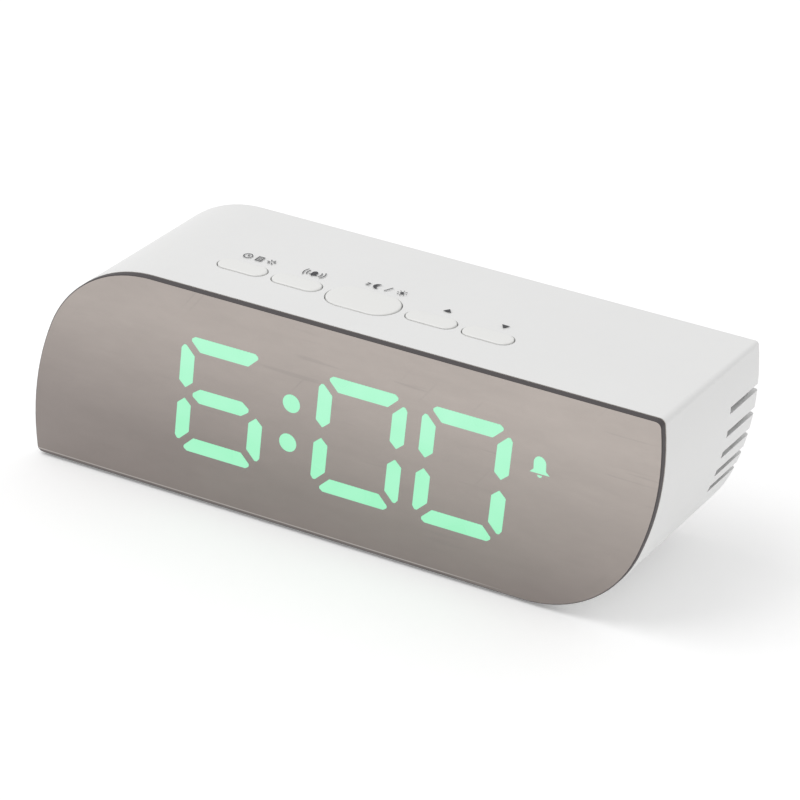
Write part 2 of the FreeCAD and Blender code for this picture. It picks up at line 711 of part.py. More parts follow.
def make_rear_cover():
    """Plate let into the sleeve's back, with the battery bay as a tray on its inside."""
    body = new_body("rear_cover")
    plate = front_sketch(body, "plate", cover_front_y)
    draw_outline(plate, cover_inset, size.inner_corner)
    pad(body, plate, size.cover_thickness, along_normal=False)

    bay_left = size.bay_x - bay_half_length
    bay_right = size.bay_x + bay_half_length
    tray = front_sketch(body, "tray", cover_front_y)
    draw_rectangle(
        tray,
        bay_left - size.bay_wall,
        bay_right + size.bay_wall,
        -bay_half_height - size.bay_wall,
        bay_half_height + size.bay_wall,
    )
    pad(body, tray, cover_front_y - bay_floor_y + size.bay_wall)
    bay = front_sketch(body, "bay", cover_back_y)
    draw_rectangle(bay, bay_left, bay_right, -bay_half_height, bay_half_height)
    pocket(body, bay, cover_back_y - bay_floor_y, along_normal=True)
    seat = front_sketch(body, "door_seat", cover_back_y)
    draw_rectangle(
        seat,
        size.bay_x - door_half_length,
        size.bay_x + door_half_length,
        -door_half_height,
        door_half_height,
    )
    pocket(body, seat, size.door_thickness, along_normal=True)
    catches = front_sketch(body, "tab_catches", cover_front_y)
    for sign in (-1, 1):
        middle = size.bay_x + size.tab_spacing * (sign / 2)
        half = size.tab_width / 2 + size.door_gap * 2
        top = door_half_height + size.tab_reach + size.door_gap
        draw_rectangle(catches, middle - half, middle + half, door_half_height - size.door_ledge, top)
    lip = size.door_thickness - size.tab_thickness - SHANK_PLAY
    pocket(body, catches, size.cover_thickness - lip, along_normal=False)

    for sign in (-1, 1):
        slots = front_sketch(body, "right_slots" if sign > 0 else "left_slots", cover_back_y)
        edges = sorted(
            (half_width * sign, (half_width - cover_inset - size.cover_slot) * sign),
            key=lambda edge: edge.value,
        )
        for rise in SLOTS:
            low = rise * sign - size.slot_height / 2
            draw_rectangle(slots, edges[0], edges[1], low, low + size.slot_height)
        pocket(body, slots, size.cover_thickness, along_normal=True)

    holes = front_sketch(body, "screw_holes", cover_back_y)
    for x, z in POSTS:
        draw_circle(holes, x, z, size.cover_screw_radius + SHANK_PLAY)
    pocket(body, holes, size.cover_thickness, along_normal=True)
    sinks = front_sketch(body, "screw_sinks", cover_back_y)
    for x, z in POSTS:
        draw_circle(sinks, x, z, size.cover_head_radius + HEAD_PLAY)
    pocket(body, sinks, size.cover_head_height, along_normal=True)
    sound = front_sketch(body, "sound_holes", cover_back_y)
    draw_circle(sound, size.sound_x, 0.0, size.sound_hole)
    for ring, count in ((0.5, 6), (1.0, 12)):
        for step in range(count):
            angle = 2 * math.pi * step / count
            across = size.sound_x + size.sound_ring * round(ring * math.cos(angle), 6)
            up = size.sound_ring * round(ring * math.sin(angle), 6)
            draw_circle(sound, across, up, size.sound_hole)
    pocket(body, sound, size.cover_thickness, along_normal=True)
    socket = front_sketch(body, "socket_hole", cover_back_y)
    draw_rectangle(
        socket,
        size.socket_x - size.socket_width / 2 - size.socket_margin,
        size.socket_x + size.socket_width / 2 + size.socket_margin,
        power_top_z - mid_z - HEAD_PLAY,
        power_top_z - mid_z + size.socket_height + size.socket_margin,
    )
    pocket(body, socket, size.cover_thickness, along_normal=True)


def make_battery_door():
    """Flat door with two tabs that hook under the cover at its upper edge."""
    body = new_body("battery_door")
    left = size.bay_x - door_half_length + size.door_gap
    right = size.bay_x + door_half_length - size.door_gap
    low = -door_half_height + size.door_gap
    high = door_half_height - size.door_gap
    plate = front_sketch(body, "plate", door_front_y)
    draw_rectangle(plate, left, right, low, high)
    pad(body, plate, size.door_thickness, along_normal=False)
    tabs = front_sketch(body, "tabs", door_front_y)
    for sign in (-1, 1):
        middle = size.bay_x + size.tab_spacing * (sign / 2)
        half = size.tab_width / 2
        draw_rectangle(tabs, middle - half, middle + half, high - size.tab_root, high + size.tab_reach)
    pad(body, tabs, size.tab_thickness, along_normal=False)
    grip = front_sketch(body, "grip", cover_back_y)
    half = size.grip_width / 2
    for step in range(3):
        level = low + size.grip_start + size.grip_pitch * step
        draw_rectangle(grip, size.bay_x - half, size.bay_x + half, level, level + size.grip_groove)
    pocket(body, grip, size.grip_depth, along_normal=True)


# ---------------------------------------------------------------- cells and their contacts


def make_cells():
    """Three cells one above another, the middle one turned round."""
    for place_in_stack, sign in ((1, 1), (0, -1), (-1, 1)):
        name = f"cell_{place_in_stack + 2}"
        level = mid_z + size.cell_pitch * place_in_stack
        facing = "x" if sign > 0 else "-x"
        start = size.bay_x - size.cell_length * (sign / 2)
        can = rod(f"{name}_can", size.cell_radius, size.cell_length, start, cell_y, level, facing)
        tip = size.bay_x + size.cell_length * (sign / 2)
        button = rod(
            f"{name}_button", size.cell_button_radius, size.cell_button, tip, cell_y, level, facing
        )
        node(fuse(f"{name}_solid", can, button), name)


SPRING_PLAY = 0.1
SPRING_ROOT = 1.0


def make_contacts():
    """Plates at both ends of the bay, and a bowed leaf spring for each flat end of a cell."""
    plates = []
    springs = []
    front = bay_floor_y + size.contact_lift
    back = front + size.contact_depth
    half = size.contact_height / 2
    for place_in_stack, sign in ((1, 1), (0, -1), (-1, 1)):
        level = mid_z + size.cell_pitch * place_in_stack
        for end in (-1, 1):
            wall_x = size.bay_x + bay_half_length * end
            inner_x = wall_x - size.contact_thickness * end
            left, right = sorted((wall_x, inner_x), key=lambda edge: edge.value)
            name = f"plate_{place_in_stack + 2}_{'right' if end > 0 else 'left'}"
            plates.append(block(name, left, right, front, back, level - half, level + half))
        plate_x = size.bay_x - (bay_half_length - size.contact_thickness) * sign
        tip_x = size.bay_x - (size.cell_length / 2 + SPRING_PLAY) * sign
        springs.append(leaf_spring(f"spring_{place_in_stack + 2}", plate_x, tip_x, level))
    node(group("contact_plates_group", plates), "contact_plates")
    node(group("contact_springs_group", springs), "contact_springs")


def leaf_spring(name, plate_x, tip_x, level):
    """A strip bowed from its contact plate towards the flat end of a cell."""
    bow = size.spring_bow
    sign = 1 if tip_x.value > plate_x.value else -1
    centre_x = tip_x - bow * sign
    low = level - size.spring_width / 2
    inside = bow - size.contact_thickness
    outer = rod(f"{name}_outer", bow, size.spring_width, centre_x, cell_y, low)
    inner = rod(f"{name}_inner", inside, size.spring_width, centre_x, cell_y, low)
    left, right = sorted((plate_x, tip_x + SPRING_ROOT * sign), key=lambda edge: edge.value)
    high = low + size.spring_width
    side = block(f"{name}_side", left, right, cell_y - bow, cell_y + bow, low, high)
    strip = doc.addObject("Part::Common", name)
    strip.Base = side
    strip.Tool = cut(f"{name}_ring", outer, inner)
    return strip


# ---------------------------------------------------------------- keys, switches and their board


def make_key(name, x, length, width):
    """Key cap: a half-round-ended head, a flange under the wall and a stem on the switch."""
    body = new_body(f"{name}_key")
    flange = top_sketch(body, "flange", flange_bottom_z)
    draw_stadium(flange, x, key_row_y, length + size.flange * 2, width + size.flange * 2)
    pad(body, flange, size.flange)
    head = top_sketch(body, "head", flange_top_z)
    draw_stadium(head, x, key_row_y, length, width)
    pad(body, head, top_z + size.key_proud - flange_top_z)
    round_edges(body, UP, (top_z + size.key_proud).value, size.key_edge)
    stem = top_sketch(body, "stem", flange_bottom_z)
    draw_circle(stem, x, key_row_y, size.stem_radius)
    pad(body, stem, size.stem_length, along_normal=False)


BORE_SPARE = 0.4


def make_switch(name, x):
    """Push switch under a key: a body with a bore, and the plunger that slides in it."""
    half = size.switch_side / 2
    shell = block(
        f"{name}_switch_shell",
        x - half,
        x + half,
        key_row_y - half,
        key_row_y + half,
        switch_bottom_z,
        switch_top_z,
    )
    bore_depth = size.plunger_root + size.key_travel + BORE_SPARE
    bore = rod(
        f"{name}_switch_bore",
        size.plunger_radius + SHANK_PLAY,
        bore_depth + OVERCUT,
        x,
        key_row_y,
        switch_top_z - bore_depth,
    )
    node(cut(f"{name}_switch_solid", shell, bore), f"{name}_switch")
    plunger = rod(
        f"{name}_plunger_solid",
        size.plunger_radius,
        size.plunger_root + size.plunger_height,
        x,
        key_row_y,
        switch_top_z - size.plunger_root,
    )
    node(plunger, f"{name}_plunger")


def make_key_board():
    """Narrow board under the top, hung from two bosses."""
    body = new_body("key_board")
    sketch = top_sketch(body, "outline", key_board_z)
    half = size.key_board_length / 2
    front = key_row_y - size.key_board_front
    back = front + size.key_board_depth
    draw_rectangle(sketch, size.key_x - half, size.key_x + half, front, back)
    for x in KEY_SCREWS:
        draw_circle(sketch, x, key_hanger_y, size.board_screw_radius + SHANK_PLAY)
    pad(body, sketch, size.board_thickness)


# ---------------------------------------------------------------- display


def stroke_polygons(bars):
    """Corner points of the strokes of a seven-stroke digit, about the digit's middle.

    Outer ends are mitred where two strokes meet at a corner, and the thin tip of each mitre is cut
    off. Ends beside the middle stroke are pointed. The whole digit leans to the right. bars names
    the strokes wanted.
    """
    w, h = size.digit_width.value / 2, size.digit_height.value / 2
    t, g = size.stroke.value, size.stroke_gap.value
    blunt = size.stroke_blunt.value
    # a mitred end: how far its corners lie from the digit's corner, along the stroke and across it
    mitre = (
        (g + 1.7 * blunt, 0.0),
        (g + blunt, 0.5 * blunt),
        (g + blunt, blunt),
        (g + t, t),
    )
    top = [(w - along, h - across) for along, across in mitre]
    top += [(along - w, h - across) for along, across in reversed(mitre)]
    shoulder = g + 0.45 * t
    upper = [(w - across, h - along) for along, across in mitre]
    upper += [(w - t, shoulder), (w - t / 2, g), (w, shoulder)]
    tip = w - t / 2 - g - 0.6 * blunt
    run = tip - 1.5 * blunt
    point = 0.35 * blunt
    middle = [(run, t / 2), (tip, point), (tip, -point), (run, -t / 2)]
    middle += [(-x, z) for x, z in reversed(middle)]
    shapes = {
        "top": top,
        "upper_right": upper,
        "middle": middle,
        "lower_right": [(x, -z) for x, z in upper],
        "bottom": [(x, -z) for x, z in top],
        "lower_left": [(-x, -z) for x, z in upper],
        "upper_left": [(-x, z) for x, z in upper],
    }
    return [leaning(shapes[bar]) for bar in bars]


def leaning(points):
    """Points moved to the right by a share of their height above the digits' middle."""
    lean = size.digit_lean.value
    return [(x + lean * z, z) for x, z in points]


def bell_polygon():
    """A small bell: a straight brim under a dome."""
    s = size.mark_size.value / 2
    steps = 8
    dome = []
    for step in range(steps + 1):
        angle = math.pi * step / steps
        dome.append((0.62 * s * math.cos(angle), 0.3 * s + 0.7 * s * math.sin(angle)))
    brim = [(s, -0.7 * s), (0.62 * s, -0.35 * s)]
    return [*brim, *dome, *[(-x, z) for x, z in reversed(brim)]]


def prisms(name, polygons, x, rise, depth_y, length):
    """Upright polygons, given about a point above the digits' middle, extruded backwards."""
    solids = []
    for points in polygons:
        corners = [
            FreeCAD.Vector(x.value + across, depth_y.value, digits_z.value + rise + up)
            for across, up in points
        ]
        face = Part.Face(Part.makePolygon(corners + corners[:1]))
        solids.append(face.extrude(FreeCAD.Vector(0, length.value, 0)))
    thing = doc.addObject("Part::Feature", name)
    thing.Shape = Part.makeCompound(solids)
    return thing


def colon_polygon(radius):
    """A dot as a many-sided prism's outline."""
    sides = 32
    return [
        (radius * math.cos(2 * math.pi * i / sides), radius * math.sin(2 * math.pi * i / sides))
        for i in range(sides)
    ]


ALL_BARS = ("top", "upper_right", "middle", "lower_right", "bottom", "lower_left", "upper_left")
LIGHTS = (
    ("leading_one_light_pipes", size.lead_x, ("upper_right", "lower_right")),
    ("hour_light_pipes", size.hour_x, ALL_BARS),
    ("minute_tens_light_pipes", size.minute_tens_x, ALL_BARS),
    ("minute_ones_light_pipes", size.minute_ones_x, ALL_BARS),
)


def light_shapes():
    """Every lit shape of the display: its node's name, its middle, its height and its outlines."""
    shapes = [(name, x, 0.0, stroke_polygons(bars)) for name, x, bars in LIGHTS]
    dot = colon_polygon(size.colon_radius.value)
    dots = []
    for rise in (size.colon_rise.value, -size.colon_rise.value):
        across = size.digit_lean.value * rise
        dots.append([(x + across, z + rise) for x, z in dot])
    shapes.append(("colon_light_pipes", size.colon_x, 0.0, dots))
    shapes.append(("alarm_mark_light_pipe", size.mark_x, size.mark_rise.value, [bell_polygon()]))
    return shapes


def make_display():
    """Reflector block with a well for every stroke, the clear light pipes in the wells, a tinted
    film over the face and a light chip behind each pipe."""
    half = size.display_height / 2
    body = block(
        "display_block_body",
        size.display_left,
        size.display_right,
        block_y,
        board_y,
        mid_z - half,
        mid_z + half,
    )
    wells = []
    chips = []
    for name, x, rise, polygons in light_shapes():
        wells.append(prisms(f"{name}_wells", polygons, x, rise, block_y, size.display_depth))
        node(prisms(f"{name}_solid", polygons, x, rise, block_y, size.light_depth), name)
        for number, points in enumerate(polygons, start=1):
            across = x.value + sum(point[0] for point in points) / len(points)
            up = digits_z.value + rise + sum(point[1] for point in points) / len(points)
            chip = block(
                f"{name}_chip_{number}",
                across - size.chip_side.value / 2,
                across + size.chip_side.value / 2,
                board_y - size.chip_height,
                board_y,
                up - size.chip_side.value / 2,
                up + size.chip_side.value / 2,
            )
            chips.append(chip)
    node(cut("display_block_solid", body, group("display_wells", wells)), "display_block")
    node(group("light_chips_group", chips), "light_chips")
    film = block(
        "display_film_solid",
        size.display_left,
        size.display_right,
        film_y,
        block_y,
        mid_z - half,
        mid_z + half,
    )
    node(film, "display_film")


def make_main_board():
    """Board behind the display, screwed to four bosses of the sleeve."""
    body = new_body("main_board")
    sketch = front_sketch(body, "outline", board_y)
    half = size.main_board_height / 2
    draw_rectangle(sketch, size.main_board_left, size.main_board_right, -half, half)
    for x, z in MAIN_SCREWS:
        draw_circle(sketch, x, z, size.board_screw_radius + SHANK_PLAY)
    pad(body, sketch, size.board_thickness, along_normal=False)


# name, left edge, lower edge above the middle, width, height, thickness
CHIPS = (
    ("controller", -2.0, -6.0, 10.0, 10.0, 1.6),
    ("display_driver", 26.0, -4.0, 15.4, 7.6, 2.3),
    ("crystal", 14.0, -8.0, 3.2, 8.0, 2.6),
    ("ribbon_connector", size.ribbon_x - 7.0, 6.0, 14.0, 4.6, 5.0),
    ("supply_connector", 46.0, -12.0, 7.6, 4.6, 5.0),
)
CAPACITORS = (-22.0, -30.0)
CAPACITOR_RISE = -10.0
CAPACITOR_RADIUS = 3.15
CAPACITOR_HEIGHT = 9.0
BUZZER_PLACE = (-44.0, 1.0)
BUZZER_RADIUS = 6.0
BUZZER_HEIGHT = 8.5
BUZZER_MOUTH = 1.3
BUZZER_FLOOR = 6.5


def make_board_parts():
    """What stands on the back of the main board."""
    for name, x, rise, width, height, thickness in CHIPS:
        low = mid_z + rise
        back = board_back_y + thickness
        node(block(f"{name}_solid", x, x + width, board_back_y, back, low, low + height), name)

    level = mid_z + CAPACITOR_RISE
    cans = [
        rod(f"capacitor_{x:.0f}", CAPACITOR_RADIUS, CAPACITOR_HEIGHT, x, board_back_y, level, "y")
        for x in CAPACITORS
    ]
    node(group("capacitors_group", cans), "capacitors")

    x, rise = BUZZER_PLACE
    level = mid_z + rise
    shell = rod("buzzer_shell", BUZZER_RADIUS, BUZZER_HEIGHT, x, board_back_y, level, "y")
    floor_y = board_back_y + BUZZER_FLOOR
    mouth = rod("buzzer_mouth", BUZZER_MOUTH, BUZZER_HEIGHT, x, floor_y, level, "y")
    node(cut("buzzer_solid", shell, mouth), "buzzer")


# ---------------------------------------------------------------- power board and socket


def make_power_board():
    """Small board on two bosses at the back, with the power socket on it."""
    body = new_body("power_board")
    sketch = top_sketch(body, "outline", power_board_z)
    half = size.power_board_width / 2
    back = cover_front_y - HEAD_PLAY
    draw_rectangle(sketch, size.socket_x - half, size.socket_x + half, power_board_y, back)
    for x in POWER_SCREWS:
        draw_circle(sketch, x, power_screw_y, size.board_screw_radius + SHANK_PLAY)
    pad(body, sketch, size.board_thickness)

    half = size.socket_width / 2
    sheet_metal = size.socket_sheet
    back = cover_back_y - size.socket_recess
    front = back - size.socket_depth
    roof = power_top_z + size.socket_height
    left, right = size.socket_x - half, size.socket_x + half
    shell = block("socket_shell", left, right, front, back, power_top_z, roof)
    mouth = block(
        "socket_mouth",
        left + sheet_metal,
        right - sheet_metal,
        front + sheet_metal,
        cover_back_y,
        power_top_z + sheet_metal,
        roof - sheet_metal,
    )
    node(cut("socket_shell_solid", shell, mouth), "power_socket")
    half = size.tongue_width / 2
    low = power_top_z + size.socket_height / 2 - 0.1
    tongue = block(
        "socket_tongue_solid",
        size.socket_x - half,
        size.socket_x + half,
        front + sheet_metal,
        cover_back_y - size.tongue_recess,
        low,
        low + size.tongue_thickness,
    )
    node(tongue, "socket_tongue")


# ---------------------------------------------------------------- wires


def tube(points, radius):
    """A round wire along straight runs joined by arcs as large as the runs allow."""
    arcs = []
    for before, corner, after in zip(points, points[1:], points[2:]):
        back = before - corner
        on = after - corner
        turn = math.pi - back.getAngle(on)
        reach = 0.45 * min(back.Length, on.Length)
        back.normalize()
        on.normalize()
        start = corner + back * reach
        end = corner + on * reach
        inwards = back + on
        inwards.normalize()
        bend = reach / math.tan(turn / 2)
        middle = corner + inwards * (bend / math.cos(turn / 2) - bend)
        arcs.append((start, middle, end))
    edges = []
    here = points[0]
    for start, middle, end in arcs:
        edges.append(Part.LineSegment(here, start).toShape())
        edges.append(Part.Arc(start, middle, end).toShape())
        here = end
    edges.append(Part.LineSegment(here, points[-1]).toShape())
    path = Part.Wire(edges)
    section = Part.Wire([Part.makeCircle(radius, points[0], points[1] - points[0])])
    return path.makePipeShell([section], True, True)


BATTERY_LEVELS = (7.0, -7.0)
BATTERY_LANE = 2.2
BAY_LEAVING_Y = 12.0
BAY_RUN = 9.0
BAY_DROP = 2.0
LANDING_ACROSS = 3.0
LANDING_BACK = 8.6
LANDING_RISE = 6.0
SUPPLY_X = 44.0
SUPPLY_LANE = 2.4
SUPPLY_BACK = 3.0
SUPPLY_RISE = 5.0
SUPPLY_END_X = 48.6
SUPPLY_END_RISE = -9.7
SUPPLY_BEND_Y = 0.5
CONNECTOR_HEIGHT = 5.0


def make_wires():
    """Two wires from the bay to the power board, two from there to the main board."""
    bay_side = (size.bay_x + bay_half_length + size.bay_wall + size.wire_radius).value
    board_top = power_top_z.value
    board_left = (size.socket_x - size.power_board_width / 2).value
    front = power_board_y.value
    battery = []
    for wire, level in enumerate(BATTERY_LEVELS):
        y = BAY_LEAVING_Y - BATTERY_LANE * wire
        z = mid_z.value + level
        landing_x = board_left + LANDING_ACROSS
        landing_y = front + LANDING_BACK - BATTERY_LANE * wire
        over_z = board_top + LANDING_RISE - BATTERY_LANE * wire
        start = FreeCAD.Vector(bay_side, y, z)
        turn = FreeCAD.Vector(bay_side + BAY_RUN, y, z - BAY_DROP)
        over = FreeCAD.Vector(landing_x, landing_y, over_z)
        end = FreeCAD.Vector(landing_x, landing_y, board_top)
        battery.append([start, turn, over, end])
    supply = []
    for wire in (0, 1):
        x = SUPPLY_X + SUPPLY_LANE * wire
        end_x = SUPPLY_END_X + SUPPLY_LANE * wire
        end_z = mid_z.value + SUPPLY_END_RISE
        start = FreeCAD.Vector(x, front + SUPPLY_BACK, board_top)
        rise = FreeCAD.Vector(x, front + SUPPLY_BACK, board_top + SUPPLY_RISE)
        near = FreeCAD.Vector(end_x, SUPPLY_BEND_Y, end_z)
        end = FreeCAD.Vector(end_x, (board_back_y + CONNECTOR_HEIGHT).value, end_z)
        supply.append([start, rise, near, end])
    for name, routes in (("battery_wires", battery), ("supply_wires", supply)):
        thing = doc.addObject("Part::Feature", name + "_solids")
        thing.Shape = Part.makeCompound([tube(points, size.wire_radius.value) for points in routes])
        node(thing, name)


RIBBON_BEHIND_KEYS = 6.0
RIBBON_LEVEL = 8.3


def make_ribbon():
    """Flat cable from the key board down to its connector on the main board."""
    thickness = size.ribbon_thickness.value
    start_y = key_row_y.value + RIBBON_BEHIND_KEYS
    end_y = (board_back_y + CONNECTOR_HEIGHT).value
    level = mid_z.value + RIBBON_LEVEL
    bend = start_y - end_y
    drop = key_board_z.value - level - bend
    inner = bend - thickness / 2
    outer = bend + thickness / 2
    middle = FreeCAD.Vector(0, end_y, level + bend)
    half_turn = math.sqrt(0.5)

    def at(radius, across, down):
        return middle + FreeCAD.Vector(0, radius * across, -radius * down)

    lift = FreeCAD.Vector(0, 0, drop)
    edges = [
        Part.LineSegment(at(outer, 1, 0) + lift, at(outer, 1, 0)).toShape(),
        Part.Arc(at(outer, 1, 0), at(outer, half_turn, half_turn), at(outer, 0, 1)).toShape(),
        Part.LineSegment(at(outer, 0, 1), at(inner, 0, 1)).toShape(),
        Part.Arc(at(inner, 0, 1), at(inner, half_turn, half_turn), at(inner, 1, 0)).toShape(),
        Part.LineSegment(at(inner, 1, 0), at(inner, 1, 0) + lift).toShape(),
        Part.LineSegment(at(inner, 1, 0) + lift, at(outer, 1, 0) + lift).toShape(),
    ]
    width = size.ribbon_width.value
    face = Part.Face(Part.Wire(edges))
    face.translate(FreeCAD.Vector(size.ribbon_x.value - width / 2, 0, 0))
    thing = doc.addObject("Part::Feature", "ribbon_solid")
    thing.Shape = face.extrude(FreeCAD.Vector(width, 0, 0))
    node(thing, "ribbon_cable")


# ---------------------------------------------------------------- screws and feet


CROSS = (2.2, 0.5)
CROSS_DEPTH = 0.7
CROSS_ABOVE = 0.1


def screw(name, radius, length, head_radius, head_height, x, y, z, facing):
    """A screw with a flat round head, a cross recess and a plain shank; facing is the shank's way."""
    away = {"y": (0, 1, 0), "-y": (0, -1, 0), "z": (0, 0, 1), "-z": (0, 0, -1)}[facing]
    head_place = [as_size(c) - head_height * a for c, a in zip((x, y, z), away)]
    shank = rod(name + "_shank", radius, length, x, y, z, facing)
    head = rod(name + "_head", head_radius, head_height, *head_place, facing)
    slots = []
    for number, (wide, narrow) in enumerate((CROSS, CROSS[::-1]), start=1):
        slot = doc.addObject("Part::Box", f"{name}_slot_{number}")
        slot.Length = wide
        slot.Width = narrow
        slot.Height = CROSS_DEPTH + CROSS_ABOVE
        shift = TURNS[facing].multVec(FreeCAD.Vector(wide / 2, narrow / 2, CROSS_ABOVE))
        settle(slot, *[c - s for c, s in zip(head_place, shift)], facing)
        slots.append(slot)
    return cut(name, fuse(name + "_blank", shank, head), fuse(name + "_recess", *slots))


def make_screws():
    """Four screws for the rear cover and eight small ones for the boards."""
    cover_face_y = cover_back_y - size.cover_head_height
    cover = [
        screw(
            f"cover_screw_{number}",
            size.cover_screw_radius,
            size.cover_screw_length,
            size.cover_head_radius,
            size.cover_head_height,
            x,
            cover_face_y,
            mid_z + z,
            "-y",
        )
        for number, (x, z) in enumerate(POSTS, start=1)
    ]
    node(group("cover_screws_group", cover), "cover_screws")
    places = [(x, board_back_y, mid_z + z, "-y") for x, z in MAIN_SCREWS]
    places += [(x, key_hanger_y, key_board_z, "z") for x in KEY_SCREWS]
    places += [(x, power_screw_y, power_top_z, "-z") for x in POWER_SCREWS]
    small = [
        screw(
            f"board_screw_{number}",
            size.board_screw_radius,
            size.board_screw_length,
            size.board_head_radius,
            size.board_head_height,
            *spot,
        )
        for number, spot in enumerate(places, start=1)
    ]
    node(group("board_screws_group", small), "board_screws")


def make_feet():
    """Four round rubber feet stuck into shallow recesses."""
    for number, (x, y) in enumerate(FEET, start=1):
        body = new_body(f"foot_{number}")
        sketch = top_sketch(body, "disc", 0.0)
        draw_circle(sketch, x, y, size.foot_radius)
        pad(body, sketch, size.foot_stand + size.foot_recess)
        round_edges(body, -UP, 0.0, size.foot_edge)


make_front_panel()
make_mirror_coat()
make_gasket()
make_housing()
make_rear_cover()
make_battery_door()
make_cells()
make_contacts()
for key_name, key_across, key_long, key_wide in KEYS:
    make_key(key_name, key_across, key_long, key_wide)
    make_switch(key_name, key_across)
make_key_board()
make_display()
make_main_board()
make_board_parts()
make_power_board()
make_wires()
make_ribbon()
make_screws()
make_feet()
doc.recompute()

# ---------------------------------------------------------------- checks and export

for thing in doc.Objects:
    if "Invalid" in thing.State or "Error" in thing.State:
        raise ValueError(f"{thing.Label} did not compute: {thing.State}")
os.makedirs("parts", exist_ok=True)
for thing in nodes:
    shape = thing.Shape
    if shape.isNull() or not shape.isValid() or not shape.Solids:
        raise ValueError(f"{thing.Label} is not a valid solid")
for thing in nodes:
    thing.Shape.exportStep(f"parts/{thing.Label}.step")
    print(f"{thing.Label}: {len(thing.Shape.Solids)} solids, {thing.Shape.Volume:.1f} cubic mm")
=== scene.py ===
# %% [markdown]
# # A mirror-faced alarm clock
# The clock is a white moulded sleeve, cut to a long flat-bottomed curve, with a half-silvered panel glued
# over its front. The solids are already made to size in a CAD program and arrive here as a fixed frame.
# This lesson gives every one of them a finish, and makes anew the pieces whose surface needs more than the
# solid carries: the key caps, the cells, the feet, the lit strokes and the printed signs.

# %% Load the frame
import math

import bmesh
import bpy
import numpy as np
from mathutils import Matrix, Vector


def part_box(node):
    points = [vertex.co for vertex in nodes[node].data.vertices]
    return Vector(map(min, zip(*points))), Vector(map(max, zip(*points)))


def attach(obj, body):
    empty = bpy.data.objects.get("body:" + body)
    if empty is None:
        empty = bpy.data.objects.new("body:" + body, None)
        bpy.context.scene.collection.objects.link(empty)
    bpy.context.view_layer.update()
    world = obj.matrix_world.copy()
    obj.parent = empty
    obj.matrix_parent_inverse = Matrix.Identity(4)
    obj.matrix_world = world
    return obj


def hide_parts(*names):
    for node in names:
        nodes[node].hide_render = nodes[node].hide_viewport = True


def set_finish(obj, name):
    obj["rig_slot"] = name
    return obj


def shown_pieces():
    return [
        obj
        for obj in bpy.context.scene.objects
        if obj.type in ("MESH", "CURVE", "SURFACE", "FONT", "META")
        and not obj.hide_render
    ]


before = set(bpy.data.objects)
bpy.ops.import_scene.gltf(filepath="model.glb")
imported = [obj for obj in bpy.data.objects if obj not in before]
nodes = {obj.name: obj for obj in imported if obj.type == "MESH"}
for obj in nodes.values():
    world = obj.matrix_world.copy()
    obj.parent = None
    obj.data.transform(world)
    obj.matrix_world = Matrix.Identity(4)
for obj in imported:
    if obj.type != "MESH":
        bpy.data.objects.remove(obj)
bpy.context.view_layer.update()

MM = 0.001

# %% [markdown]
# ## The camera
# A long lens from about a metre away keeps the clock's long edges nearly parallel. It could be aimed with a
# Track To constraint, but a matrix built from three unit vectors is shorter and also holds the slight roll
# of a hand-held view. The camera looks along its own -Z, so the third column is the opposite of the viewing
# direction.

# %% Place the camera
CAMERA_PLACE = Vector((447.6, -764.5, 481.9)) * MM
CAMERA_AIM = Vector((2.41, 1.14, 27.55)) * MM
CAMERA_ROLL = math.radians(-1.21)
LENS_MM = 189.0

camera_data = bpy.data.cameras.new("view")
camera_data.lens = LENS_MM
camera_data.sensor_width = 36.0
camera_data.clip_start = 0.01
camera = bpy.data.objects.new("view", camera_data)
bpy.context.scene.collection.objects.link(camera)
forward = (CAMERA_AIM - CAMERA_PLACE).normalized()
level_right = forward.cross(Vector((0, 0, 1))).normalized()
level_up = level_right.cross(forward)
up = level_up * math.cos(CAMERA_ROLL) + level_right * math.sin(CAMERA_ROLL)
right = forward.cross(up)
camera.matrix_world = Matrix.Translation(CAMERA_PLACE) @ Matrix((right, up, -forward)).transposed().to_4x4()
bpy.context.scene.camera = camera
print("camera is", round((CAMERA_AIM - CAMERA_PLACE).length, 3), "m from the clock")

# %% [markdown]
# ## Surfaces from arrays
# Every new piece is a grid of points: one direction runs round or along the piece, the other follows its
# section. Working on whole arrays is quick, and the same grid gives the faces by counting. A piece could
# also be built by hand from vertices, but then a change of radius would mean moving them all.


# %% Grids of faces
def grid_faces(rows, columns, closed_rows=False, closed_columns=True):
    """Corner numbers of the squares between neighbouring grid points, row after row.

    The square at (r, c) joins (r, c), (r, c+1), (r+1, c+1) and (r+1, c). A closed direction joins its
    last line of points to its first.
    """
    r = np.arange(rows if closed_rows else rows - 1)[:, None]
    c = np.arange(columns if closed_columns else columns - 1)[None, :]
    next_r, next_c = (r + 1) % rows, (c + 1) % columns
    corners = [r * columns + c, r * columns + next_c, next_r * columns + next_c, next_r * columns + c]
    return np.stack([np.broadcast_to(k, (r.size, c.size)).ravel() for k in corners], axis=1)


def shells(parts):
    """One list of points and faces from several (points, faces) shells, with the face numbers moved along."""
    starts = np.cumsum([0] + [len(points) for points, _ in parts[:-1]])
    points = np.concatenate([points for points, _ in parts])
    faces = [tuple(int(k) + int(s) for k in face) for s, (_, part) in zip(starts, parts) for face in part]
    return points, faces


MERGE_DISTANCE = 0.5e-6


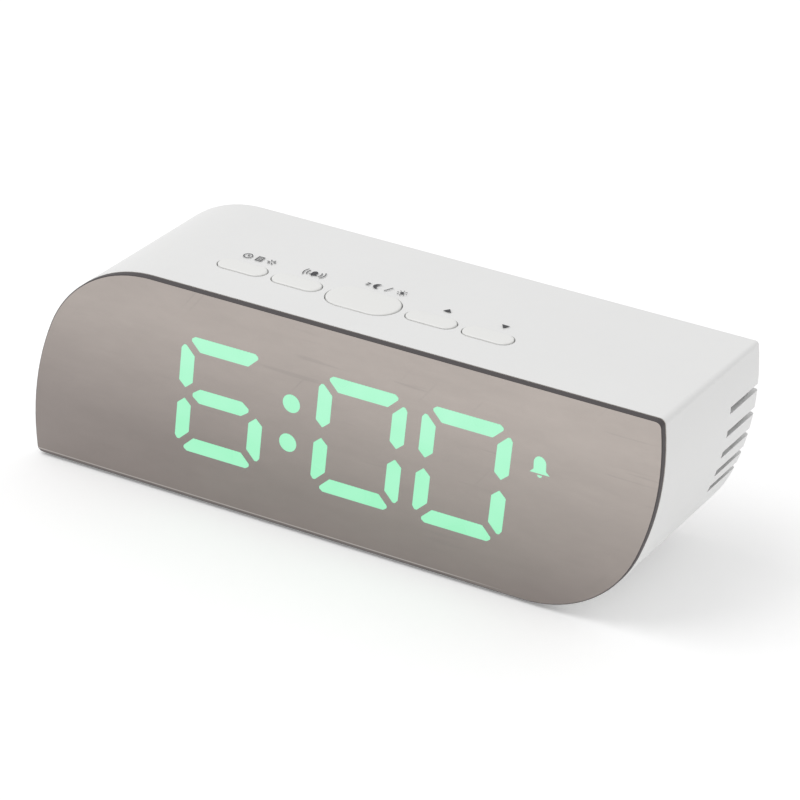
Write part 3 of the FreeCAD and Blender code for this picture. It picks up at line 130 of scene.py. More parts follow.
def make_piece(name, points, faces, body, slot=None, replaced=(), smooth_below=35.0):
    """A mesh object from points and faces, closed, with outward faces, riding on a CAD body."""
    mesh = bpy.data.meshes.new(name)
    mesh.from_pydata(np.asarray(points, float).tolist(), [], [tuple(map(int, f)) for f in faces])
    shape = bmesh.new()
    shape.from_mesh(mesh)
    bmesh.ops.remove_doubles(shape, verts=shape.verts, dist=MERGE_DISTANCE)
    bmesh.ops.dissolve_degenerate(shape, edges=shape.edges, dist=MERGE_DISTANCE)
    bmesh.ops.recalc_face_normals(shape, faces=shape.faces)
    shape.to_mesh(mesh)
    shape.free()
    mesh.shade_smooth()
    mesh.set_sharp_from_angle(angle=math.radians(smooth_below))
    piece = bpy.data.objects.new(name, mesh)
    bpy.context.scene.collection.objects.link(piece)
    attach(piece, body)
    if slot:
        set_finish(piece, slot)
    if replaced:
        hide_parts(*replaced)
    return piece


print("a 3 by 8 tube has", len(grid_faces(3, 8)), "faces")


# %% [markdown]
# ## Turned shapes
# Cells, feet and the keys' stems are all turned: a profile of distance from an axis against place along it,
# spun round. One function makes them all. A profile that starts and ends on the axis closes itself, because
# the points that fall together there are merged.


# %% Spin a profile
def turned(profile, centre, axis="z", sides=64):
    """Points and faces of a profile spun about an axis.

    Each profile row is (along, radius). A point is centre + along * axis + radius * (cos t, sin t) in the
    plane across the axis, for t all the way round.
    """
    along, radius = np.asarray(profile, float).T
    t = np.linspace(0, 2 * np.pi, sides, endpoint=False)
    across = radius[:, None] * np.cos(t), radius[:, None] * np.sin(t)
    steady = np.broadcast_to(along[:, None], across[0].shape)
    order = (steady, *across) if axis == "x" else (*across, steady)
    points = np.stack(order, axis=-1).reshape(-1, 3) + np.asarray(centre, float)
    return points, grid_faces(len(along), sides)


def quarter(along, radius, size, start, stop, steps=5):
    """Profile rows on a round: an arc of the given size about (along, radius), between two angles in
    degrees."""
    t = np.radians(np.linspace(start, stop, steps))
    return np.stack([along + size * np.sin(t), radius + size * np.cos(t)], axis=1)


print("an arc of five rows:", quarter(0, 0, 1, 0, 90).round(2).tolist())

# %% [markdown]
# ## The five keys
# Each key is a half-round-ended cap that lies almost flush in the top, with a fine gap round it, a flange
# that holds it under the wall and a stem down to its switch. What shows of it is the soft edge, where the
# light turns. So the cap is a profile carried round the path of a stadium: the last rows run in to the
# middle line with a slight crown.


# %% Carry a profile round a stadium
def stadium_sweep(centre, length, width, profile, turn_steps=24, run_steps=12):
    """Points and faces of a profile carried round a stadium.

    A path point is the nearest point of the middle line plus half the width outwards. A profile row
    (inset, height) moves it inwards along the same line and sets its height, so an inset of half the
    width reaches the middle line.
    """
    reach = (length - width) / 2
    t = np.linspace(-np.pi / 2, np.pi / 2, turn_steps)
    run = np.linspace(reach, -reach, run_steps + 2)[1:-1]
    spine = np.concatenate([np.full(t.shape, reach), run, np.full(t.shape, -reach), -run])
    angle = np.concatenate([t, np.full(run.shape, np.pi / 2), t + np.pi, np.full(run.shape, -np.pi / 2)])
    inset, height = np.asarray(profile, float).T
    far = width / 2 - inset[:, None]
    x = centre[0] + spine[None, :] + far * np.cos(angle)[None, :]
    y = centre[1] + far * np.sin(angle)[None, :]
    z = np.broadcast_to(height[:, None], x.shape)
    return np.stack([x, y, z], axis=-1).reshape(-1, 3), grid_faces(len(inset), len(spine))


print("one ring of a stadium has", len(stadium_sweep((0, 0), 2.0, 1.0, [(0, 0)])[0]), "points")


# %% Make the keys
KEYS = ("mode", "alarm", "snooze", "up", "down")
FLANGE = 0.9 * MM
KEY_EDGE = 0.35 * MM
CROWN = 0.06 * MM
STEM_RADIUS = 1.5 * MM
STEM_LENGTH = 1.5 * MM
STEM_ROOT = 0.2 * MM
CROWN_START = 1.6 * KEY_EDGE

for key in KEYS:
    low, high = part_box(f"{key}_key")
    middle = (low + high) / 2
    length, width = high.x - low.x - 2 * FLANGE, high.y - low.y - 2 * FLANGE
    flange_low = low.z + STEM_LENGTH
    crown_insets = np.linspace(width / 2, CROWN_START, 7)
    crown = [(i, high.z - CROWN * (1 - i / (width / 2)) ** 2) for i in crown_insets]
    rim_z = high.z - CROWN - KEY_EDGE
    t = np.radians(np.linspace(80, 0, 6))
    rim = np.stack([KEY_EDGE * (1 - np.cos(t)), rim_z + KEY_EDGE * np.sin(t)], axis=1)
    flange_high = flange_low + FLANGE
    under = [(0, flange_high), (-FLANGE, flange_high), (-FLANGE, flange_low), (width / 2, flange_low)]
    cap = stadium_sweep(middle, length, width, [*crown, *rim, *under])
    stem_top = STEM_LENGTH + STEM_ROOT
    stem_profile = [(0, 0), (0, STEM_RADIUS), (stem_top, STEM_RADIUS), (stem_top, 0)]
    stem = turned(stem_profile, (middle.x, middle.y, low.z))
    points, faces = shells([cap, stem])
    made = make_piece(f"{key}_key_cap", points, faces, f"{key}_key", "key_white", [f"{key}_key"])
    print(made.name, len(made.data.polygons), "faces")

# %% [markdown]
# ## The cells
# Behind the battery door lie three small round cells. A real one is a drawn can with a rolled edge at its
# flat end and a stepped button at the other, wrapped in a printed sleeve. The whole outline is one turned
# profile, and the sleeve and the bare metal are told apart later by how far along the cell a point is.

# %% Turn the cells
CELL_RADIUS_MM = 5.15
CELL_PROFILE_MM = [
    (0.0, 0.0), (0.0, 3.2), (0.12, 3.6), (0.32, 3.75), (0.32, 4.35), (0.1, 4.5), (0.05, 4.75), (0.2, 5.0),
    (0.55, 5.12), (0.8, 5.15), (42.3, 5.15), (42.75, 5.08), (43.0, 4.85), (43.05, 4.55), (42.85, 4.3),
    (42.8, 2.4), (42.95, 2.1), (43.4, 2.0), (44.3, 1.95), (44.5, 1.85), (44.6, 1.6), (44.6, 0.0),
]
CELL_LENGTH_MM = 44.6

for number in (1, 2, 3):
    low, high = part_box(f"cell_{number}")
    length, radius = high.x - low.x, (high.z - low.z) / 2
    metres_per_mm = np.array([length / CELL_LENGTH_MM, radius / CELL_RADIUS_MM])
    profile = np.array(CELL_PROFILE_MM) * metres_per_mm
    start = low.x
    if number == 2:
        profile[:, 0] = -profile[:, 0]
        start = high.x
    points, faces = turned(profile, (start, (low.y + high.y) / 2, (low.z + high.z) / 2), "x", 72)
    cell = make_piece(f"cell_{number}_can", points, faces, "case", "cell_label", [f"cell_{number}"])
    print(cell.name, "length in mm", round((high.x - low.x) / MM, 1))

# %% [markdown]
# ## The feet
# Four round pads keep the underside off the table. A moulded pad is not a plain disc: its rim is rolled and
# its sole is dished, with a ring left standing that grips. The pad's top is buried in the case wall.

# %% Mould the feet
for number in (1, 2, 3, 4):
    low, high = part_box(f"foot_{number}")
    reach, tall = (high.x - low.x) / 2, high.z - low.z
    roll = 0.3 * MM
    sole = [(0.18 * MM, 0), (0.18 * MM, 2.6 * MM), (0.1 * MM, 2.9 * MM), (0, 3.1 * MM), (0, 3.9 * MM)]
    sole += [(0.1 * MM, 4.05 * MM), (0.1 * MM, 4.2 * MM), (0, 4.35 * MM)]
    rolled = quarter(roll, reach - roll, roll, -90, 0)
    ground = ((low.x + high.x) / 2, (low.y + high.y) / 2, low.z)
    pad = turned([*sole, *rolled, (tall, reach), (tall, 0)], ground)
    foot = make_piece(f"foot_{number}_pad", *pad, "case", "foot_rubber", [f"foot_{number}"])
    print(foot.name, "stands", round(tall / MM, 2), "mm tall with its root")

# %% [markdown]
# ## Flat plates with outlines
# The lit strokes and the printed signs are thin plates. A text object or a curve could draw them, but here
# each outline is a short list of corners, and a plate is that outline at two heights with a wall between.
# Rounding every corner with a small curve keeps them from looking cut with a knife.


# %% Build plates
def rounded(outline, size, steps=5):
    """An outline whose corners are eased: each corner becomes a quadratic curve between points a little
    way along its two sides, and never past the middle of the shorter side."""
    p = np.asarray(outline, float)
    before, after = np.roll(p, 1, axis=0) - p, np.roll(p, -1, axis=0) - p
    run_before, run_after = np.linalg.norm(before, axis=1)[:, None], np.linalg.norm(after, axis=1)[:, None]
    ease = np.minimum(size, 0.45 * np.minimum(run_before, run_after))
    a, b = p + before / run_before * ease, p + after / run_after * ease
    t = np.linspace(0, 1, steps)[None, :, None]
    curve = (1 - t) ** 2 * a[:, None] + 2 * t * (1 - t) * p[:, None] + t**2 * b[:, None]
    return curve.reshape(-1, 2)


def plate(outline, low, high, facing):
    """A closed plate over an outline. Facing "up" puts the outline in x and y and its thickness in z; facing
    "front" puts it in x and z and its thickness in y."""
    p = np.asarray(outline, float)
    levels = np.repeat([low, high], len(p))
    both = np.tile(p, (2, 1))
    order = (both[:, 0], both[:, 1], levels) if facing == "up" else (both[:, 0], levels, both[:, 1])
    n = len(p)
    walls = grid_faces(2, n).tolist()
    return np.stack(order, axis=1), [tuple(range(n)), tuple(range(n, 2 * n)), *map(tuple, walls)]


def arc_band(centre, inner, outer, start, stop, steps=20):
    """The outline of a band between two arcs about a centre, from one angle to another in degrees."""
    t = np.radians(np.linspace(start, stop, steps))
    ring = np.stack([np.cos(t), np.sin(t)], axis=1)
    return np.concatenate([centre + outer * ring, (centre + inner * ring)[::-1]])


def bar(start, stop, thick):
    """The outline of a straight bar of even thickness between two points."""
    a, b = np.asarray(start, float), np.asarray(stop, float)
    side = np.array([-(b - a)[1], (b - a)[0]]) / np.linalg.norm(b - a) * thick / 2
    return np.array([a - side, b - side, b + side, a + side])


print("a rounded square has", len(rounded([(0, 0), (1, 0), (1, 1), (0, 1)], 0.1)), "corners")

# %% [markdown]
# ## The lit strokes
# Numbers on this clock are seven-stroke figures that shine through the half-silvered panel, so with the
# light off they vanish. Real light would have to pass two surfaces on its way, which needs many samples to
# come out clean. A thin glowing plate laid on the panel where each stroke shines gives the same picture at
# once. The strokes' ends are mitred at the figure's corners, with the thin tips cut off, and pointed beside
# its middle. The figures lean a little to the right, which is a plain shear: each point moves right by a
# fixed share of its height.

# %% Draw a seven-stroke figure
FIGURE_WIDTH, FIGURE_HEIGHT, STROKE, STROKE_GAP, BLUNT, EASE, LEAN = 23.8, 30.9, 3.8, 1.4, 1.3, 0.22, 0.088


def leaning(points):
    """Points moved right by LEAN times their height."""
    return points + np.stack([LEAN * points[:, 1], np.zeros(len(points))], axis=1)


def figure_strokes():
    """Corner lists of the seven strokes about the figure's middle, in millimetres. The top bar and the
    upper right stroke share one mitred end, whose rows say how far its corners lie from the figure's
    corner, along the stroke and across it. The others are mirror images. Last, x grows by LEAN times
    z."""
    w, h, t, g, b = FIGURE_WIDTH / 2, FIGURE_HEIGHT / 2, STROKE, STROKE_GAP, BLUNT
    mitre = np.array([(g + 1.7 * b, 0), (g + b, 0.5 * b), (g + b, b), (g + t, t)])
    mirror_x, mirror_z = np.array([-1, 1]), np.array([1, -1])
    right_end = (w, h) - mitre
    top = np.concatenate([right_end, right_end[::-1] * mirror_x])
    shoulder = g + 0.45 * t
    tall = np.concatenate([(w, h) - mitre[:, ::-1], [(w - t, shoulder), (w - t / 2, g), (w, shoulder)]])
    tip = w - t / 2 - g - 0.6 * b
    right_tip = np.array([(tip - 1.5 * b, t / 2), (tip, 0.35 * b), (tip, -0.35 * b), (tip - 1.5 * b, -t / 2)])
    middle = np.concatenate([right_tip, right_tip[::-1] * mirror_x])
    upright = {
        "top": top, "bottom": top * mirror_z, "middle": middle, "upper_right": tall,
        "lower_right": tall * mirror_z, "upper_left": tall * mirror_x,
        "lower_left": tall * mirror_x * mirror_z,
    }
    return {name: leaning(corners) for name, corners in upright.items()}


print("a whole figure has", len(figure_strokes()), "strokes")

# %% Light the time
panel_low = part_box("front_panel")[0]
GLOW_PROUD, GLOW_ROOT = 0.03 * MM, 0.05 * MM
glow_front, glow_back = panel_low.y - GLOW_PROUD, panel_low.y + GLOW_ROOT
FIGURES = {
    "hour": ("top", "upper_left", "middle", "lower_left", "lower_right", "bottom"),
    "minute_tens": ("top", "upper_left", "lower_left", "lower_right", "bottom", "upper_right"),
    "minute_ones": ("top", "upper_left", "lower_left", "lower_right", "bottom", "upper_right"),
}
strokes = figure_strokes()
for figure, lit in FIGURES.items():
    low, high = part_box(f"{figure}_light_pipes")
    middle = np.array([(low.x + high.x) / 2, (low.z + high.z) / 2])
    outlines = [middle + rounded(strokes[name], EASE) * MM for name in lit]
    points, faces = shells([plate(o, glow_back, glow_front, "front") for o in outlines])
    made = make_piece(f"{figure}_glow", points, faces, "case", "lit_green")
    print(made.name, len(lit), "strokes")

low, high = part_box("colon_light_pipes")
# the dots' box is a dot wide, plus the lean between their middles; solved for a dot's radius
dot = (high.x - low.x - LEAN * (high.z - low.z)) / (2 - 2 * LEAN)
turn = np.linspace(0, 2 * np.pi, 48, endpoint=False)
circle = np.stack([np.cos(turn), np.sin(turn)], axis=1) * dot
dots = [circle + centre for centre in ((low.x + dot, low.z + dot), (high.x - dot, high.z - dot))]
points, faces = shells([plate(d, glow_back, glow_front, "front") for d in dots])
make_piece("colon_glow", points, faces, "case", "lit_green")
print("colon dots", round(2 * dot / MM, 2), "mm across")


# %% Light the alarm sign
def bell(size, centre):
    """A bell's outline: a straight brim, sides that draw in, and a half-round dome, about a centre."""
    s = size / 2
    t = np.linspace(0, np.pi, 17)
    dome = np.stack([0.62 * s * np.cos(t), 0.3 * s + 0.7 * s * np.sin(t)], axis=1)
    skirt = [(s, -0.7 * s), (0.62 * s, -0.35 * s)]
    mirrored = [(-x, z) for x, z in skirt[::-1]]
    return centre + np.array([*skirt, *dome, *mirrored])


low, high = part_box("alarm_mark_light_pipe")
sign = np.array([(low.x + high.x) / 2, (low.z + high.z) / 2])
SIGN_SIZE = high.x - low.x
clapper = arc_band(sign + np.array([0, -0.42 * SIGN_SIZE]), 0, 0.12 * SIGN_SIZE, 180, 360, 12)
sign_parts = [plate(o, glow_back, glow_front, "front") for o in (bell(SIGN_SIZE, sign), clapper)]
make_piece("alarm_sign_glow", *shells(sign_parts), "case", "lit_green")
print("figures stand", round((glow_front - panel_low.y) / MM, 3), "mm from the panel's face")

# %% [markdown]
# ## Printed signs
# Each key's use is printed behind it in dark ink. Words are left to the maker of a real clock, and small
# generic signs say the same: a dial, a page and a sun for the mode, a ringing bell for the alarm, a moon
# and a lamp for snooze and light, and arrowheads for up and down. They are thin plates that stand a
# fiftieth of a millimetre off the case, as pad-printed ink does, and reach as far into it so that no gap
# shows.

# %% Print the signs
case_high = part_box("housing")[1]
INK_PROUD, INK_ROOT, LINE, FINE = 0.02 * MM, 0.02 * MM, 0.26, 0.2


def ring_of_bars(centre, inner, outer, count, thick):
    """Short bars like rays: bar k runs from the inner to the outer distance at angle k / count of a turn."""
    angles = 2 * np.pi * np.arange(count) / count
    rays = np.stack([np.cos(angles), np.sin(angles)], axis=1)
    return [bar(centre + inner * ray, centre + outer * ray, thick) for ray in rays]


def frame_of(x0, y0, x1, y1, thick):
    """Four bars that make a rectangle's outline."""
    h = thick / 2
    return [
        bar((x0, y0 + h), (x1, y0 + h), thick),
        bar((x0, y1 - h), (x1, y1 - h), thick),
        bar((x0 + h, y0 + thick), (x0 + h, y1 - thick), thick),
        bar((x1 - h, y0 + thick), (x1 - h, y1 - thick), thick),
    ]


def crescent(centre, size, steps=24):
    """A moon: an outer arc of the given size, and an inner arc about a centre moved aside, through the
    same tips."""
    out = np.radians(np.linspace(60, 300, steps))
    shift = size * 0.62
    tips = np.stack([np.cos(out[[0, -1]]), np.sin(out[[0, -1]])], axis=1) * size
    reach = math.hypot(tips[0][0] - shift, tips[0][1])
    first = math.atan2(tips[0][1], tips[0][0] - shift)
    back = np.linspace(-first, first - 2 * np.pi, steps)
    inner = np.stack([shift + reach * np.cos(back), reach * np.sin(back)], axis=1)
    outer = np.stack([np.cos(out), np.sin(out)], axis=1) * size
    return centre + np.concatenate([outer, inner[1:-1]])


def triangle(centre, size, way):
    """An arrowhead: three corners about a centre, with the tip up for way 1 and down for way -1."""
    foot, tip = -0.55 * size * way, 0.85 * size * way
    return centre + np.array([(-size, foot), (size, foot), (0, tip)])


at = np.array
SIGNS = {
    "mode": [
        arc_band(at([-3.3, 0]), 0.98, 1.2, 0, 180), arc_band(at([-3.3, 0]), 0.98, 1.2, 180, 360),
        bar((-3.3, -0.1), (-3.3, 0.68), FINE), bar((-3.4, 0), (-2.8, 0), FINE),
        *frame_of(-0.85, -1.15, 0.85, 1.15, LINE), bar((-0.4, 0.35), (0.4, 0.35), FINE),
        bar((-0.4, -0.35), (0.4, -0.35), FINE), *ring_of_bars(at([3.3, 0]), 0.45, 1.2, 6, LINE),
    ],
    "alarm": [
        bell(2.3, at([0, 0.15])), arc_band(at([0, -0.95]), 0, 0.3, 180, 360, 10),
        arc_band(at([0, 0.15]), 1.75, 1.97, -34, 34), arc_band(at([0, 0.15]), 2.65, 2.87, -34, 34),
        arc_band(at([0, 0.15]), 1.75, 1.97, 146, 214), arc_band(at([0, 0.15]), 2.65, 2.87, 146, 214),
    ],
    "snooze": [
        crescent(at([-3.6, 0]), 1.15), bar((-1.2, -1.2), (-0.1, 1.2), LINE),
        arc_band(at([3.0, 0]), 0, 0.5, 0, 360, 25)[:24], *ring_of_bars(at([3.0, 0]), 0.85, 1.3, 8, FINE),
        bar((-6.7, 0.5), (-5.7, 0.5), FINE), bar((-6.7, -0.5), (-5.7, -0.5), FINE),
        bar((-5.8, 0.45), (-6.6, -0.45), FINE),
    ],
    "up": [triangle(at([0, 0]), 1.05, 1)],
    "down": [triangle(at([0, 0]), 1.05, -1)],
}
SIGN_PLACES = {key: (2.5, 8.4) if key == "snooze" else (1.0, 6.1) for key in SIGNS}
for key, outlines in SIGNS.items():
    low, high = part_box(f"{key}_key")
    place = at([(low.x + high.x) / 2, (low.y + high.y) / 2]) + at(SIGN_PLACES[key]) * MM
    ink_low, ink_high = case_high.z - INK_ROOT, case_high.z + INK_PROUD
    plates = [plate(place + rounded(o, 0.06) * MM, ink_low, ink_high, "up") for o in outlines]
    made = make_piece(f"{key}_sign", *shells(plates), "case")
    print(made.name, len(outlines), "shapes")

# %% [markdown]
# ## Writing materials
# A node tree is easier to read when a line says what it adds. `put` adds one node, sets its plain values
# and links any socket it is given. Effects that several finishes share are made once, as groups with named
# sockets, and each finish places them with its own values.


# %% Node helpers
def put(tree, kind, inputs=None, **settings):
    """Adds a node to a tree. A socket given as an input is linked, and anything else is set as its
    plain value."""
    node = tree.nodes.new(kind)
    for name, value in settings.items():
        setattr(node, name, value)
    for key, value in (inputs or {}).items():
        if isinstance(value, bpy.types.NodeSocket):
            tree.links.new(value, node.inputs[key])
        else:
            node.inputs[key].default_value = value
    return node


def blend_colours(tree, factor, a, b, mode="MIX"):
    """The colour socket of a Mix node between two colours."""
    return put(tree, "ShaderNodeMix", {0: factor, 6: a, 7: b}, data_type="RGBA", blend_type=mode).outputs[2]


def maths(tree, operation, a, b=0.0, clamp=False):
    """The value socket of a Math node."""
    return put(tree, "ShaderNodeMath", {0: a, 1: b}, operation=operation, use_clamp=clamp).outputs[0]


def spread(tree, value, low, high, to_low=0.0, to_high=1.0):
    """The value socket of a Map Range node that stays between its ends."""
    limits = {"Value": value, "From Min": low, "From Max": high, "To Min": to_low, "To Max": to_high}
    return put(tree, "ShaderNodeMapRange", limits).outputs["Result"]


def noise(tree, place, scale, detail=2.0, rough=0.5):
    """The value socket of a Noise Texture."""
    values = {"Vector": place, "Scale": scale, "Detail": detail, "Roughness": rough}
    return put(tree, "ShaderNodeTexNoise", values).outputs[0]


def start_group(name, inputs, outputs):
    """An empty group with named sockets: its tree, the sockets that bring values in, and its output node."""
    tree = bpy.data.node_groups.new(name, "ShaderNodeTree")
    for socket, kind, value in inputs:
        tree.interface.new_socket(socket, in_out="INPUT", socket_type=kind).default_value = value
    for socket, kind in outputs:
        tree.interface.new_socket(socket, in_out="OUTPUT", socket_type=kind)
    brought = put(tree, "NodeGroupInput").outputs
    return tree, brought, put(tree, "NodeGroupOutput").inputs


FLOAT, COLOUR = "NodeSocketFloat", "NodeSocketColor"
print("helpers ready")

# %% [markdown]
# ## Shared effects
# *Moulded grain* is what a spark-eroded mould leaves on plastic: a fine even pimple, and broad patches a
# shade lighter or darker where the melt met. *Hairlines* are the short straight scratches of handling and
# polishing. *Cloud* is a slow change over centimetres, for fingerprints and uneven gloss. All three read
# the object's own coordinates in metres, so they stay put when the piece moves.

# %% Moulded grain
tree, brought, put_out = start_group(
    "moulded_grain",
    [
        ("Colour", COLOUR, (0.8, 0.8, 0.8, 1)), ("Grain", FLOAT, 2500), ("Patches", FLOAT, 0.04),
        ("Gloss", FLOAT, 0.45),
    ],
    [("Colour", COLOUR), ("Roughness", FLOAT), ("Height", FLOAT)],
)
place = put(tree, "ShaderNodeTexCoord").outputs["Object"]
pimple = noise(tree, place, brought["Grain"], 2.0, 0.6)
slow = noise(tree, place, 28.0, 3.0, 0.55)
fleck = noise(tree, place, 420.0, 2.0)
shade = maths(tree, "MULTIPLY", maths(tree, "SUBTRACT", slow, 0.5), brought["Patches"])
shade = maths(tree, "ADD", shade, maths(tree, "MULTIPLY", maths(tree, "SUBTRACT", fleck, 0.5), 0.012))
lighter = maths(tree, "ADD", shade, 1.0)
tint = put(tree, "ShaderNodeHueSaturation", {"Color": brought["Colour"], "Value": lighter})
tree.links.new(tint.outputs[0], put_out["Colour"])
uneven = maths(tree, "MULTIPLY", maths(tree, "SUBTRACT", slow, 0.5), 0.18)
tree.links.new(maths(tree, "ADD", brought["Gloss"], uneven, clamp=True), put_out["Roughness"])
tree.links.new(pimple, put_out["Height"])
moulded_grain = tree
print(tree.name, "has", len(tree.nodes), "nodes")

# %% Hairlines
tree, brought, put_out = start_group(
    "hairlines", [("Turn", FLOAT, 0.0), ("Fineness", FLOAT, 900.0), ("Amount", FLOAT, 0.5)], [("Mask", FLOAT)]
)
place = put(tree, "ShaderNodeTexCoord").outputs["Object"]
about_y = {"Vector": place, "Angle": brought["Turn"]}
axis = put(tree, "ShaderNodeVectorRotate", about_y, rotation_type="Y_AXIS")
drawn = put(tree, "ShaderNodeVectorMath", {0: axis.outputs[0], 1: (0.035, 1.0, 1.0)}, operation="MULTIPLY")
lines = noise(tree, drawn.outputs[0], brought["Fineness"], 1.0)
gate = spread(tree, lines, 0.66, 0.72)
patches = spread(tree, noise(tree, place, 45.0, 2.0), 0.5, 0.62)
broken = maths(tree, "MULTIPLY", gate, patches)
tree.links.new(maths(tree, "MULTIPLY", broken, brought["Amount"]), put_out["Mask"])
hairlines = tree
print(tree.name, "has", len(tree.nodes), "nodes")

# %% Cloud
tree, brought, put_out = start_group(
    "cloud", [("Size", FLOAT, 20.0), ("Contrast", FLOAT, 1.0)], [("Mask", FLOAT)]
)
place = put(tree, "ShaderNodeTexCoord").outputs["Object"]
drift = maths(tree, "SUBTRACT", noise(tree, place, brought["Size"], 4.0, 0.6), 0.5)
swing = maths(tree, "MULTIPLY", drift, brought["Contrast"])
tree.links.new(maths(tree, "ADD", swing, 0.5, True), put_out["Mask"])
cloud = tree
print("groups:", [g.name for g in bpy.data.node_groups])


# %% [markdown]
# ## Plastics, rubbers and metals
# Most pieces are one even stuff. Their finish is the same recipe with other numbers: a colour through the
# moulded grain, its pimple in the bump, and hairlines that lighten a metal or dull a plastic. Values that
# do not change over the surface go straight on the shader's own sockets.


# %% A recipe for an even stuff
def start_material(name, **plain):
    """A new node material: its tree, its Principled shader with plain values set, and the material."""
    material = bpy.data.materials.new(name)
    material.use_nodes = True
    tree = material.node_tree
    shader = next(n for n in tree.nodes if n.type == "BSDF_PRINCIPLED")
    for key, value in plain.items():
        shader.inputs[key.replace("_", " ")].default_value = value
    return material, tree, shader


def place_group(tree, group, **values):
    """A group node with its inputs set."""
    node = put(tree, "ShaderNodeGroup", node_tree=group)
    for key, value in values.items():
        if isinstance(value, bpy.types.NodeSocket):
            tree.links.new(value, node.inputs[key])
        else:
            node.inputs[key].default_value = value
    return node.outputs


def dent(tree, shader, height, depth, strength=1.0):
    """Bump: a height from 0 to 1 becomes a relief of the given depth in metres on the shader's Normal."""
    bump = put(tree, "ShaderNodeBump", {"Height": height, "Distance": depth, "Strength": strength})
    tree.links.new(bump.outputs[0], shader.inputs["Normal"])


def even_stuff(name, colour, gloss, grain=2500.0, depth=6e-6, patches=0.05, scratch=0.15, turn=0.4, **plain):
    """Moulded grain in the colour, hairlines mixed over it, and the grain's height as bump."""
    material, tree, shader = start_material(name, **plain)
    grained = place_group(tree, moulded_grain, Colour=(*colour, 1), Grain=grain, Patches=patches, Gloss=gloss)
    worn = place_group(tree, hairlines, Turn=turn, Fineness=1400.0, Amount=scratch)["Mask"]
    pale = tuple(min(1.0, c * 0.7 + 0.25) for c in colour)
    tree.links.new(blend_colours(tree, worn, grained["Colour"], (*pale, 1)), shader.inputs["Base Color"])
    tree.links.new(grained["Roughness"], shader.inputs["Roughness"])
    dent(tree, shader, grained["Height"], depth)
    return material


finishes = {
    "case_white": even_stuff("case_white", (0.79, 0.79, 0.785), 0.42, 2600.0, 4e-6, 0.035, 0.05),
    "cover_white": even_stuff("cover_white", (0.77, 0.77, 0.765), 0.52, 1500.0, 1.2e-5, 0.04, 0.08),
    "key_white": even_stuff("key_white", (0.80, 0.80, 0.785), 0.38, 3000.0, 3e-6, 0.03, 0.05),
    "gasket_foam": even_stuff("gasket_foam", (0.035, 0.035, 0.038), 0.85, 1800.0, 3e-5, 0.3, 0.0),
    "mirror_film": even_stuff("mirror_film", (0.42, 0.37, 0.33), 0.2, 900.0, 1e-6, 0.1, 0.3, Metallic=1.0),
    "tinted_film": even_stuff("tinted_film", (0.05, 0.05, 0.055), 0.2, 700.0, 1e-6, 0.1, 0.2),
    "reflector_plastic": even_stuff("reflector_plastic", (0.72, 0.72, 0.70), 0.5, 1500.0, 8e-6),
    "light_chip": even_stuff("light_chip", (0.85, 0.82, 0.45), 0.3, 2200.0, 3e-6),
    "switch_black": even_stuff("switch_black", (0.025, 0.025, 0.027), 0.4, 1900.0, 6e-6, 0.3),
    "plunger_plastic": even_stuff("plunger_plastic", (0.10, 0.10, 0.11), 0.35, 2500.0, 4e-6, 0.2),
    "chip_resin": even_stuff("chip_resin", (0.03, 0.03, 0.033), 0.55, 4200.0, 1.2e-5, 0.3, 0.1),
    "connector_plastic": even_stuff("connector_plastic", (0.70, 0.66, 0.55), 0.45, 2100.0, 5e-6),
    "capacitor_sleeve": even_stuff("capacitor_sleeve", (0.03, 0.05, 0.14), 0.3, 1500.0, 2e-6, 0.2),
    "buzzer_plastic": even_stuff("buzzer_plastic", (0.03, 0.03, 0.03), 0.5, 1500.0, 8e-6, 0.3),
    "foot_rubber": even_stuff("foot_rubber", (0.16, 0.16, 0.165), 0.75, 1700.0, 2e-5, 0.15, 0.0),
    "contact_steel": even_stuff(
        "contact_steel", (0.66, 0.65, 0.62), 0.28, 1800.0, 2e-6, 0.12, 0.5, 0.0, Metallic=1.0
    ),
    "tin_plate": even_stuff(
        "tin_plate", (0.72, 0.72, 0.71), 0.32, 2400.0, 3e-6, 0.12, 0.5, 1.2, Metallic=1.0
    ),
    "screw_steel": even_stuff(
        "screw_steel", (0.50, 0.50, 0.50), 0.35, 2600.0, 5e-6, 0.2, 0.5, 0.8, Metallic=1.0
    ),
}
print(len(finishes), "even finishes")

# %% [markdown]
# ## The mirror panel
# The panel is clear sheet with a thin metal film behind it, and glue and foam behind that. From the front
# the two read as one warm grey mirror: the film gives the metal colour and the sheet gives a clear coat
# with its own sharp highlight. At its cut edge the sheet looks almost black, because light that enters
# there runs down inside it. So the face and the edge take two materials. The face's colour is painted
# darker towards the foot of the panel and towards its left end, a painted reflection of the shaded floor
# just in front of the clock, and it carries faint streaks and rubbing marks along its length. Just above
# its flat foot a painted dark strip stands for the lower edge seen through the sheet, under a pale line
# that is a painted highlight on the edge's rounding; both fade out towards the right.

# %% Mirror face
# the foot colour is painted shade, the dark end of a painted reflection gradient over the mirror face
MIRROR_TOP, MIRROR_FOOT_PAINTED_SHADE = (0.448, 0.395, 0.364, 1), (0.212, 0.180, 0.168, 1)
material, tree, shader = start_material(
    "half_mirror_face", Metallic=1.0, Coat_Weight=1.0, Coat_Roughness=0.03
)
shader.inputs["Coat IOR"].default_value = 1.49
place = put(tree, "ShaderNodeTexCoord").outputs["Object"]
axes = put(tree, "ShaderNodeSeparateXYZ", {0: place}).outputs
